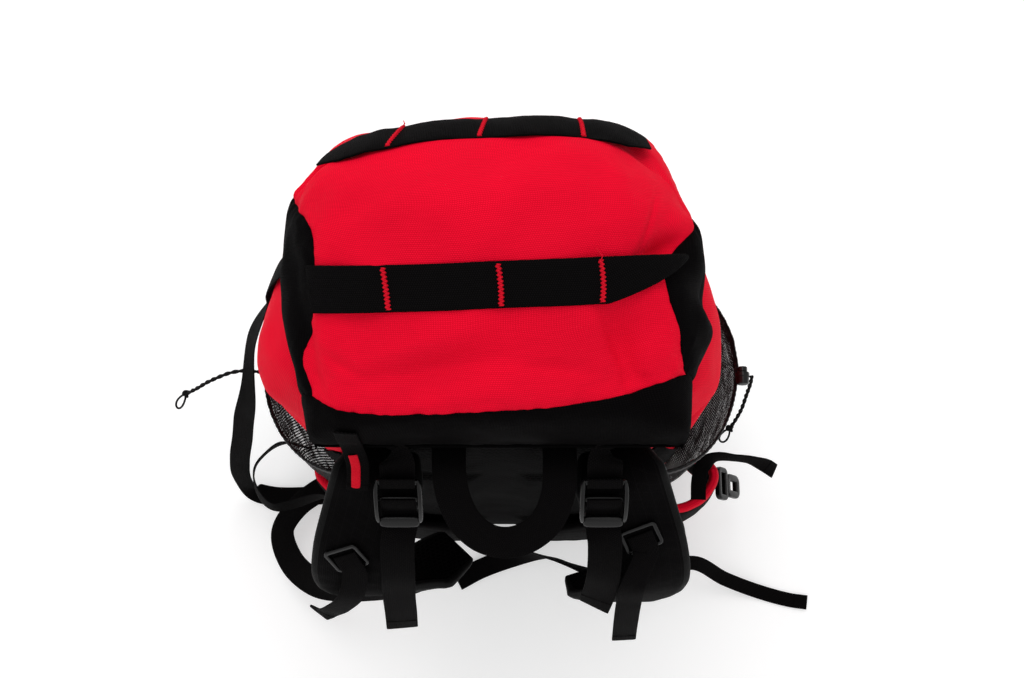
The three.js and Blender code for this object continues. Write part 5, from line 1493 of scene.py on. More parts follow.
@dataclass
class Lid:
    """The lid pocket: red top, black gussets, bands and underside, and its two strips."""

    wardrobe: Wardrobe
    top_steps: tuple[int, int] = (190, 180)
    strip_steps: tuple[int, int] = (200, 10)
    near_tacks: tuple[float, ...] = (-0.25, 0.0, 0.217)
    far_tacks: tuple[float, ...] = (-0.235, -0.003, 0.258)
    tack_width: float = 3.1 * MM
    thread_width: float = 0.7 * MM
    tack_height: float = 1.1 * MM
    tack_stitch: float = 1.5 * MM

    @staticmethod
    def _seam(over: Grid, hand: Grid) -> Grid:
        """Where the side seam lies, as a share across."""
        return np.where(hand < 0, LID_SECTIONS.at("seamLeft", over), LID_SECTIONS.at("seamRight", over))

    @staticmethod
    def _band_top(side: Grid) -> Grid:
        """Where the back band ends, higher at its corners."""
        return BACK_SEAM.at("over", (side + 1) / 2)

    @classmethod
    def _top(cls, s: Grid, t: Grid) -> tuple[Grid, Grid]:
        """Places of the red top between its seams."""
        over, across = lerp(BAND_TOP, FRONT_BAND, t), lerp(-1, 1, s)
        side = across * cls._seam(over, across)
        return side, over + (cls._band_top(side) - BAND_TOP) * (1 - t) ** 3

    def _cloth(self, name: str, nodes: str, place: Callable, steps: tuple[int, int], finish: Finish, creases: Creases) -> None:
        """Makes one panel of the lid."""
        maker = MeshMaker(name)
        grids = panel_grids(creased_lid, place, steps, -CLOTH, 0, creases, LID_BASE, 2 * SEAM_GAP)
        maker.shell(*grids)
        dress(maker.build(self.wardrobe.of(finish)), nodes)

    def _gusset(self, hand: int) -> Callable[[Grid, Grid], tuple[Grid, Grid]]:
        """Places of a gusset between the side seam and the lower edge."""

        def place(s: Grid, t: Grid) -> tuple[Grid, Grid]:
            """Shares across the gusset and along it."""
            over = lerp(BAND_TOP, FRONT_BAND, t)
            inner = hand * self._seam(over, np.full(over.shape, float(hand)))
            side = lerp(-1, inner, s) if hand < 0 else lerp(inner, 1, s)
            return side, over + (self._band_top(side) - BAND_TOP) * (1 - t) ** 3

        return place

    def _underside(self) -> None:
        """Makes the underside: flat at its rim and domed over the collar."""
        side, over = np.meshgrid(np.linspace(-1, 1, 81), np.linspace(0, 1, 81), indexing="ij")
        edges = [lid_point(np.full(over.shape, hand), over) for hand in (-1.0, 1.0)]
        edge = lerp(edges[0], edges[1], ((side + 1) / 2)[..., None])
        inside = np.maximum(np.minimum(over, 1 - over) - 0.125, 0)
        dome = np.minimum.reduce([np.ones_like(side), 6 * (1 - np.abs(side)), 8 * inside])
        dome = smooth(0, 1, dome)
        rise = LID_BASE - 2 * SEAM_GAP + dome * (LID_DROP + CLOTH + 3 * SEAM_GAP)
        over_side = np.stack([edge[..., 0], edge[..., 1], rise], axis=-1)
        maker = MeshMaker("lid_lining")
        maker.shell(over_side, over_side - vector(0, 0, CLOTH))
        dress(maker.build(self.wardrobe.of(Wardrobe.lining)), "lid_underside")

    @staticmethod
    def _side_at(across: Grid) -> Grid:
        """The share across whose metric place is the given share of the half width."""
        return np.sign(across) * np.arcsin(np.clip(np.abs(across), 0, 1) ** (1 / LID_ROUND)) * 2 / math.pi

    def _strip(self, name: str, course: Ribbon, tacks: Sequence[float], loose: float, seed: int) -> None:
        """Makes a strip with its bar tacks.

        The strip bows up a little between the tacks. A tack is a low dome across the strip,
        rippled by the sine of its stitches, with a loose end of thread.

        Args:
            name: of the plain solid.
            course: how the strip lies on the lid.
            tacks: the tacks' shares across the lid.
            loose: the tack that has a loose end of thread.
            seed: of its creases.
        """
        s = np.linspace(0, 1, self.strip_steps[0] + 1)[:, None] + np.zeros(self.strip_steps[1] + 1)
        shares = [course.share_of(tack) for tack in tacks]
        apart = np.minimum.reduce([np.abs(s - share) for share in shares])
        bow = 1.2 * MM * smooth(0.0, 0.07, apart)
        low = LAID_GAP - 0.6 * MM
        creases = Creases(seed, size=60 * MM, height=0.5 * MM, pucker=0.25 * MM, tuck=0.3 * MM, tuck_reach=1.5 * MM)
        outer, inner = panel_grids(lid_point, course.place, self.strip_steps, low, low + WEBBING + bow, creases)
        inner = inner + (outer - inner) * (bow / (WEBBING + bow))[..., None]
        maker = MeshMaker(name + "_webbing")
        maker.shell(outer, inner)
        for middle in tacks:
            self._tack(maker, course, middle, low + WEBBING, middle == loose)
        piece = maker.build(self.wardrobe.of(Wardrobe.webbing), self.wardrobe.of(Wardrobe.stitch))
        dress(piece, name)

    def _tack(self, maker: MeshMaker, course: Ribbon, middle: float, face: float, loose: bool) -> None:
        """Adds a bar tack that stands on a strip's face."""
        centre = np.abs(math.sin(middle * math.pi / 2)) ** LID_ROUND * np.sign(middle)
        half = self.tack_width / LID_WIDTH
        pitch = DAISY_WIDTH / self.tack_stitch

        def place(u: Grid, v: Grid) -> tuple[Grid, Grid]:
            """Places of the tack on the strip."""
            zigzag = 0.35 * np.sin(math.pi * v * pitch)
            side = self._side_at(centre + (2 * u - 1 + zigzag) * half)
            return course.place(course.share_of(side), lerp(0.04, 0.96, v))

        u, v = np.meshgrid(np.linspace(-1, 1, 9), np.linspace(0, 1, 141), indexing="ij")
        ripple = 0.5 + 0.5 * np.abs(np.sin(math.pi * v * pitch + 0.8 * u))
        high = face + 0.25 * MM + self.tack_height * np.sqrt(1 - 0.92 * u**2) * ripple
        maker.shell(*panel_grids(lid_point, place, (8, 140), face - 0.4 * MM, high), finish=1)
        if loose:
            self._loose_end(maker, course, middle, face)

    def _loose_end(self, maker: MeshMaker, course: Ribbon, middle: float, face: float) -> None:
        """Adds the loose end of thread behind a tack: it curls up off the strip's farther edge."""
        places = [(0.0, 0.95, 0.6), (0.004, 1.03, 1.6), (-0.002, 1.11, 1.3), (-0.008, 1.2, 2.4)]
        rows = []
        for aside, across, height in places:
            side, over = course.place(np.array(course.share_of(middle + aside)), np.array(across))
            out = outward(lid_point, side, over)
            rows.append(Row(lid_point(side, over) + out * (face + height * MM), out))
        thread = Course(rows)
        share, length = thread.even(24)
        width = np.full(24, self.thread_width)
        rings, uv = ribbon_rings(thread, share, length, width, width, np.zeros(24), sides=8)
        maker.tube(rings, uv, 1)

    def build(self) -> None:
        """Makes every piece of the lid."""
        top = Creases(21, size=90 * MM, height=2.4 * MM, pucker=0.9 * MM, tuck=1.8 * MM, tuck_reach=5 * MM)
        self._cloth("lid_top_cloth", "lid_top_panel", self._top, self.top_steps, Wardrobe.red, top)
        band = Creases(22, size=70 * MM, height=0.9 * MM, pucker=0.6 * MM, tuck=1.0 * MM)

        def back_band(s: Grid, t: Grid) -> tuple[Grid, Grid]:
            """Places of the back band."""
            side = lerp(-1, 1, s)
            return side, lerp(0, self._band_top(side), t)

        def front_band(s: Grid, t: Grid) -> tuple[Grid, Grid]:
            """Places of the front band."""
            return lerp(-1, 1, s), lerp(FRONT_BAND, 1, t)

        self._cloth("lid_back_cloth", "lid_back_band", back_band, (200, 36), Wardrobe.black, band)
        self._cloth("lid_front_cloth", "lid_front_band", front_band, (180, 28), Wardrobe.black, band)
        for hand, name in ((-1, "left"), (1, "right")):
            creases = Creases(24 + hand, size=60 * MM, height=1.4 * MM, pucker=0.8 * MM)
            cloth = f"lid_side_{name}"
            self._cloth(cloth, f"lid_gusset_{name}", self._gusset(hand), (60, 180), Wardrobe.black, creases)
        self._underside()
        self._strip("daisy_strip_near", NEAR_STRIP, self.near_tacks, self.near_tacks[-1], 27)
        self._strip("daisy_strip_far", FAR_STRIP, self.far_tacks, self.far_tacks[0], 28)


class Hand(Enum):
    """The two sides of the bag."""

    LEFT = "left"
    RIGHT = "right"


@dataclass
class Pocket:
    """A stretch mesh pocket on a side panel, with the elastic hem along its open top."""

    wardrobe: Wardrobe
    hand: Hand
    steps: tuple[int, int] = (110, 90)
    hem_width: float = 11 * MM
    hem_thickness: float = 2.2 * MM

    def surface(self, s: Grid, t: Grid) -> Grid:
        """The outside of the pocket: the bag's, pushed out by powers of sines across and up."""
        start, end = (-0.09, 0.088) if self.hand is Hand.RIGHT else (0.412, 0.59)
        to_front = s if self.hand is Hand.RIGHT else 1 - s
        rise = lerp(POCKET_FOOT, lerp(POCKET_BACK, POCKET_FRONT, to_front), t)
        filled = np.maximum(np.sin(math.pi * np.clip(to_front, 0, 1) ** POCKET_SLANT), 0) ** 0.8
        up = np.maximum(np.sin(math.pi / 2 * np.clip(1.2 * t, 0, 1)), 0) ** 1.4
        stand = POCKET_BULGE * filled * up + LAID_GAP + SEAM_GAP + POCKET_CLOTH
        turn = lerp(start, end, s)
        return body_point(turn, rise) + outward(body_point, turn, rise) * stand[..., None]

    @classmethod
    def from_hem(cls, hand: Hand, offset: Sequence[float]) -> Grid:
        """A place given in millimetres from the middle of a pocket's hem."""
        return cls(None, hand).surface(np.array(0.5), np.array(1.0)) + np.array(offset, float) * MM

    def build(self) -> None:
        """Makes the mesh, its hem and the small tab above it."""
        name = self.hand.value

        def place(s: Grid, t: Grid) -> tuple[Grid, Grid]:
            """Places of the mesh."""
            return lerp(0.01, 0.99, s), t

        creases = Creases(41 if self.hand is Hand.LEFT else 45, size=45 * MM, height=1.0 * MM, pucker=0.8 * MM, tuck=0.0)
        maker = MeshMaker(f"pocket_{name}_mesh")
        maker.shell(*panel_grids(self.surface, place, self.steps, -POCKET_CLOTH, 0, creases))
        s = np.linspace(0.01, 0.99, 160)
        rows = (self.surface(s, np.full(s.shape, 0.965)), outward(self.surface, s, np.full(s.shape, 0.965)))
        hem = Course([Row(point, face) for point, face in zip(rows[0][::4], rows[1][::4])])
        share, length = hem.even(200)
        gather = self.hem_thickness * (1 + 0.22 * np.sin(2 * math.pi * length / (5 * MM)))
        width = np.full(200, self.hem_width)
        rings, uv = ribbon_rings(hem, share, length, width, gather, np.full(200, 0.3 * MM))
        maker.tube(rings, uv, 1)
        piece = maker.build(self.wardrobe.of(Wardrobe.pocket), self.wardrobe.of(Wardrobe.elastic))
        dress(piece, f"mesh_pocket_{name}")
        self._tab(name)

    def _tab(self, name: str) -> None:
        """Makes the triangular tab at the pocket's back corner."""
        right = self.hand is Hand.RIGHT
        seam = SEAM_RIGHT_BACK + 0.006 if right else SEAM_LEFT_BACK - 0.006
        reach = TAB_REACH if right else -TAB_REACH

        def place(s: Grid, t: Grid) -> tuple[Grid, Grid]:
            """Places of the tab, which narrows as it rises."""
            tip = seam + reach * (1 - 0.85 * t)
            turn = lerp(seam, tip, s) if right else lerp(tip, seam, s)
            return turn, lerp(POCKET_BACK + 0.02, TAB_TOP, t)

        low = LAID_GAP + SEAM_GAP
        creases = Creases(49, size=30 * MM, height=0.4 * MM, pucker=0.2 * MM, tuck=0.4 * MM, tuck_reach=2 * MM)
        maker = MeshMaker(f"tab_{name}_cloth")
        maker.shell(*panel_grids(body_point, place, (24, 40), low, low + CLOTH, creases))
        dress(maker.build(self.wardrobe.of(Wardrobe.black)), f"side_tab_{name}")


@dataclass
class Strap:
    """A webbing strap along its course, with a folded and stitched end."""

    wardrobe: Wardrobe
    name: str
    rows: Sequence[Row]
    width: float
    hem: float = 0.0
    start_hem: float = 0.0
    bow: float = 0.35 * MM
    finish: Finish = Wardrobe.webbing
    step: float = 3 * MM

    def profile(self, length: Grid) -> tuple[Grid, Grid, Grid]:
        """Width, thickness and bow along the strap.

        The strap is its webbing's thickness, and half as thick again over the hem at its end,
        where it rounds off to nothing.

        Args:
            length: places along it.

        Returns:
            Width, thickness and bow at each place.
        """
        total = length[-1]
        rest = total - length
        folded = np.maximum(
            (rest < self.hem).astype(float) if self.hem else np.zeros_like(length),
            (length < self.start_hem).astype(float) if self.start_hem else np.zeros_like(length),
        )
        thickness = WEBBING * (1 + 0.75 * folded)
        close = np.minimum(rest, length)
        round_off = np.sqrt(np.clip(1 - (1 - np.clip(close / (0.9 * MM), 0, 1)) ** 2, 0.04, 1))
        return np.full(length.shape, self.width), thickness * round_off, self.bow * (1 - folded)

    def stations(self) -> tuple[Course, Grid, Grid]:
        """The course, and shares and lengths of its stations, closer together at the ends."""
        course = Course(self.rows)
        share, length = course.even(max(12, int(course.even(2)[1][-1] / self.step)))
        total = length[-1]
        near = np.array([0.15, 0.4, 0.8, 1.3]) * MM
        marks = [near, total - near]
        for hem, place in ((self.hem, total - self.hem), (self.start_hem, self.start_hem)):
            if hem:
                marks.append(np.array([place - 0.2 * MM, place + 0.2 * MM]))
        wanted = np.unique(np.concatenate([length, *marks]))
        return course, np.interp(wanted, length, share), wanted

    def build(self, *extra: Callable[[MeshMaker], None], finishes: Sequence[Finish] = ()) -> bpy.types.Object:
        """Makes the strap with anything sewn onto it.

        Args:
            extra: adds more shapes to the same piece.
            finishes: finishes of the extra shapes.

        Returns:
            The piece.
        """
        course, share, length = self.stations()
        width, thickness, bow = self.profile(length)
        maker = MeshMaker(self.name + "_webbing")
        maker.tube(*ribbon_rings(course, share, length, width, thickness, bow))
        for add in extra:
            add(maker)
        materials = [self.wardrobe.of(finish) for finish in (self.finish, *finishes)]
        return dress(maker.build(*materials), self.name)


@dataclass
class Cushion:
    """A padded strip: an outer face, an inner face of spacer mesh and a bound edge."""

    wardrobe: Wardrobe
    name: str
    rows: Sequence[Row]
    width: Callable[[Grid], Grid]
    thickness: Callable[[Grid], Grid]
    outer: Finish
    inner: Finish
    edge: Finish
    sides: int = 56
    stations: int = 150
    bead: float = 3.2 * MM
    edge_band: float = 0.16
    edge_span: tuple[float, float] = (0.0, 1.0)
    seed: int = 51

    def section(self) -> tuple[Grid, Grid, Grid]:
        """The outline of a section, and the finish of each of its sides.

        The outline is a superellipse of power 0.6 with a groove beside the bound edge, a bell
        curve of the distance from it.

        Returns:
            Places across, places outwards and finish numbers.
        """
        angle = 2 * math.pi * (np.arange(self.sides) + 0.5) / self.sides
        c, s = np.cos(angle), np.sin(angle)
        across, up = np.sign(c) * np.abs(c) ** 0.6, np.sign(s) * np.abs(s) ** 0.6
        groove = np.exp(-(((np.abs(across) - (1 - self.edge_band)) / 0.035) ** 2))
        middle = angle + math.pi / self.sides
        side = np.abs(np.sign(np.cos(middle)) * np.abs(np.cos(middle)) ** 0.6) > 1 - self.edge_band
        finish = np.where(side, 2, np.where(np.sin(middle) > 0, 0, 1))
        return across, up * (1 - 0.16 * groove), finish

    def build(self) -> bpy.types.Object:
        """Makes the cushion, its ends rounded off like a quarter circle."""
        course = Course(self.rows)
        share, length = course.even(self.stations)
        total = length[-1]
        ends = np.array([0.2, 0.8, 1.8, 3.2, 5.0]) * MM
        wanted = np.unique(np.concatenate([length, ends, total - ends]))
        share = np.interp(wanted, length, share)
        middle, side, _, out = course.frame(share)
        across, up, finish = self.section()
        close = np.clip(np.minimum(wanted, total - wanted) / (8 * MM), 0, 1)
        round_off = np.sqrt(np.clip(1 - (1 - close) ** 2, 0.02, 1))
        width = self.width(share) * (0.86 + 0.14 * round_off)
        thickness = self.thickness(share) * round_off
        x = width[:, None] / 2 * across
        z = thickness[:, None] / 2 * up
        rings = middle[:, None] + side[:, None] * x[..., None] + out[:, None] * z[..., None]
        soft = crumple(rings, self.seed, 34 * MM, 0.5 * MM) * round_off[:, None]
        rings = rings + out[:, None] * (soft * np.sign(up) * np.abs(up))[..., None]
        uv = np.stack([np.broadcast_to(wanted[:, None], x.shape), x + 0.3 * z], axis=-1)
        maker = MeshMaker(self.name + "_cushion")
        turned = np.roll(finish[::-1], -1)
        plain = (share[:-1] < self.edge_span[0]) | (share[1:] > self.edge_span[1])
        maker.tube(rings[:, ::-1], uv[:, ::-1], np.where(plain[:, None] & (turned == 2), 0, turned))
        materials = [self.wardrobe.of(kind) for kind in (self.outer, self.inner, self.edge)]
        piece = dress(maker.build(*materials), self.name)
        return piece


@dataclass(frozen=True)
class Axes:
    """Where a small piece sits: its middle and the directions of its width, length and face."""

    centre: Grid
    x: Grid
    y: Grid
    z: Grid

    @staticmethod
    def facing(centre: Grid, side: Grid, out: Grid) -> Axes:
        """Axes with the given face, and with the width as near as can be to the given side."""
        z = unit(out)
        x = unit(side - z * float(side @ z))
        return Axes(np.asarray(centre, float), x, np.cross(z, x), z)

    def put(self, points: Grid) -> Grid:
        """Points given along the three directions, in the frame of the bag."""
        return self.centre + points[..., :1] * self.x + points[..., 1:2] * self.y + points[..., 2:] * self.z


def plain_uv(rings: Grid) -> Grid:
    """A simple cloth place for the points of a moulded piece: lengths along and round it."""
    return np.stack([run_lengths(rings, 0), run_lengths(rings, 1)], axis=-1)


def bar(maker: MeshMaker, axes: Axes, middle: Sequence[float], half: Sequence[float], power: float = 0.4, finish: int = 0) -> None:
    """Adds a rounded bar to a moulded piece, given in the piece's own directions.

    Args:
        maker: collects the piece.
        axes: where the piece sits.
        middle: middle of the bar.
        half: half its sizes across, along and out.
        power: roundness of its edges.
        finish: number of its material.
    """
    unit_axes = np.eye(3)
    rings = block_rings(vector(*middle), unit_axes, half, power, 24, 13)
    placed = axes.put(rings)
    maker.tube(placed, plain_uv(placed), finish)


def rounded_path(width: float, length: float, corner: float, count: int = 96) -> Grid:
    """Evenly spaced points round a rounded rectangle: straight sides joined by quarter circles."""
    w, l = width / 2 - corner, length / 2 - corner
    arc = np.linspace(0, math.pi / 2, 13)
    pieces = []
    for k, (cx, cy) in enumerate(((w, l), (-w, l), (-w, -l), (w, -l))):
        angle = arc + k * math.pi / 2
        pieces.append(np.stack([cx + corner * np.cos(angle), cy + corner * np.sin(angle)], axis=-1))
    outline = np.vstack(pieces + [pieces[0][:1]])
    run = np.concatenate([[0], np.cumsum(np.linalg.norm(np.diff(outline, axis=0), axis=1))])
    wanted = np.linspace(0, run[-1], count, endpoint=False)
    return np.stack([np.interp(wanted, run, outline[:, k]) for k in range(2)], axis=-1)


def hoop(maker: MeshMaker, axes: Axes, size: tuple[float, float], corner: float, bar_size: tuple[float, float], shift: float = 0.0, crown: float = 0.0) -> None:
    """Adds a closed frame: a rounded bar carried round a rounded rectangle.

    Args:
        maker: collects the piece.
        axes: where the piece sits.
        size: outer width and length of the frame.
        corner: outer radius of its corners.
        bar_size: width and thickness of the bar.
        shift: the frame's middle along the piece's length.
        crown: how far the middle of its long sides stands out.
    """
    wide, thick = bar_size
    path = rounded_path(size[0] - wide, size[1] - wide, corner - wide / 2)
    along = unit(np.roll(path, -1, axis=0) - np.roll(path, 1, axis=0))
    normal = np.stack([along[:, 1], -along[:, 0]], axis=-1)
    across, up = superellipse(16, 0.5)
    flat = path[:, None] + normal[:, None] * (across * wide / 2)[None, :, None]
    lift = up[None] * thick / 2 + crown * (1 - (2 * path[:, 1] / size[1]) ** 2)[:, None]
    points = np.concatenate([flat + vector(0, shift, 0)[:2], lift[..., None]], axis=-1)
    rings = axes.put(points)
    maker.tube(rings, plain_uv(rings), 0, closed=True)


@dataclass
class LadderLock:
    """The sliding lock of a load lifter: two raised side rails, three bars and a lower lip."""

    wardrobe: Wardrobe
    name: str
    axes: Axes
    rail: float = 3.6 * MM
    rail_rise: float = 3.0 * MM
    lip: float = 9 * MM

    def build(self) -> None:
        """Makes the lock.

        A rail is a rounded rectangle carried along the lock's length, whose middle stands out
        like a parabola; the bars are rounded blocks between the rails.
        """
        maker = MeshMaker(self.name + "_moulding")
        half_width, half_length = LOCK_WIDTH / 2, LOCK_LENGTH / 2
        across, up = superellipse(20, 0.5)
        along = np.sin(np.linspace(-math.pi / 2, math.pi / 2, 41))
        fill = np.sqrt(np.clip(1 - along**8, 0.02, 1))
        for hand in (-1, 1):
            tall = LOCK_THICKNESS * 0.62 + self.rail_rise * (1 - along**2) * 0.6
            x = hand * (half_width - self.rail / 2 - 1.3 * MM * along**4)[:, None] + fill[:, None] * across * self.rail / 2
            z = (self.rail_rise * 0.42 * (1 - along**2))[:, None] + (fill * tall)[:, None] * up
            y = np.broadcast_to((along * half_length * 0.97)[:, None], x.shape)
            rings = self.axes.put(np.stack([x, y, z], axis=-1))
            rings = rings[:, ::-1]
            maker.tube(rings, plain_uv(rings), 0)
        inner = half_width - self.rail * 0.6
        window = (LOCK_LENGTH - 4 * LOCK_BAR) / 2
        top = half_length - LOCK_BAR / 2
        bar(maker, self.axes, (0, top, 0.2 * MM), (inner, LOCK_BAR * 0.55, LOCK_THICKNESS * 0.5), 0.55)
        middle = half_length - LOCK_BAR - window - LOCK_BAR / 2
        bar(maker, self.axes, (0, middle, -0.1 * MM), (inner, LOCK_BAR * 0.5, LOCK_THICKNESS * 0.42), 0.6)
        low = -half_length + LOCK_BAR * 0.75
        bar(maker, self.axes, (0, low, 0.4 * MM), (inner, LOCK_BAR * 0.72, LOCK_THICKNESS * 0.5), 0.55)
        bar(maker, self.axes, (0, low - 1.8 * MM, 1.6 * MM), (inner * 0.93, self.lip / 2, 1.3 * MM), 0.5)
        dress(maker.build(self.wardrobe.of(Wardrobe.plastic)), self.name)


@dataclass
class SliderRing:
    """The flat ring on a shoulder pad that the chest strap comes through."""

    wardrobe: Wardrobe
    name: str
    axes: Axes

    def build(self) -> None:
        """Makes the ring: a frame."""
        maker = MeshMaker(self.name + "_moulding")
        hoop(maker, self.axes, (RING_WIDTH, RING_LENGTH), 4 * MM, (RING_BAR, RING_THICKNESS))
        dress(maker.build(self.wardrobe.of(Wardrobe.plastic)), self.name)


@dataclass
class Clasp:
    """The squeeze buckle of a lid strap: a waisted body and two side arms."""

    wardrobe: Wardrobe
    name: str
    axes: Axes

    def build(self) -> None:
        """Makes the buckle: its half width and thickness are curves along its length."""
        maker = MeshMaker(self.name + "_moulding")
        across, up = superellipse(28, 0.45)
        share = np.linspace(-1, 1, 61)
        half = BUCKLE_WIDTH / 2 * (0.86 + 0.1 * np.cos(math.pi * (share - 0.35) * 1.4))
        thick = BUCKLE_THICKNESS / 2 * (0.78 + 0.2 * np.cos(math.pi * share))
        ends = np.sqrt(np.clip(1 - share**10, 0.02, 1))
        x = (half * 0.9 * ends)[:, None] * across
        z = (thick * ends)[:, None] * up
        y = np.broadcast_to((share * BUCKLE_LENGTH / 2)[:, None], x.shape)
        rings = self.axes.put(np.stack([x, y, z], axis=-1))[:, ::-1]
        maker.tube(rings, plain_uv(rings), 0)
        for hand in (-1, 1):
            middle = (hand * BUCKLE_WIDTH * 0.44, 3 * MM, 0)
            bar(maker, self.axes, middle, (BUCKLE_WIDTH * 0.055, BUCKLE_LENGTH * 0.2, BUCKLE_THICKNESS * 0.42), 0.5)
        for place in (-0.36, 0.36):
            middle = (0, place * BUCKLE_LENGTH, BUCKLE_THICKNESS * 0.42)
            bar(maker, self.axes, middle, (BUCKLE_WIDTH * 0.36, BUCKLE_LENGTH * 0.05, BUCKLE_THICKNESS * 0.12), 0.5)
        dress(maker.build(self.wardrobe.of(Wardrobe.plastic)), self.name)


@dataclass
class HipBuckle:
    """The buckle on the right hip: a frame with a webbing slot and a tongue with a hole."""

    wardrobe: Wardrobe
    axes: Axes
    bar_width: float = 6 * MM

    def build(self) -> None:
        """Makes the buckle from two frames that share a bar."""
        maker = MeshMaker("hip_buckle_moulding")
        upper, lower = HIP_BUCKLE_LENGTH * 0.44, HIP_BUCKLE_LENGTH * 0.62
        size = (HIP_BUCKLE_WIDTH, upper)
        shift = (HIP_BUCKLE_LENGTH - upper) / 2
        thick = HIP_BUCKLE_THICKNESS * 0.85
        hoop(maker, self.axes, size, 6 * MM, (self.bar_width, thick), shift)
        size = (HIP_BUCKLE_WIDTH * 0.72, lower)
        shift = -(HIP_BUCKLE_LENGTH - lower) / 2
        hoop(maker, self.axes, size, 8 * MM, (self.bar_width * 1.25, thick), shift, 0.6 * MM)
        dress(maker.build(self.wardrobe.of(Wardrobe.plastic)), "hip_buckle_right")


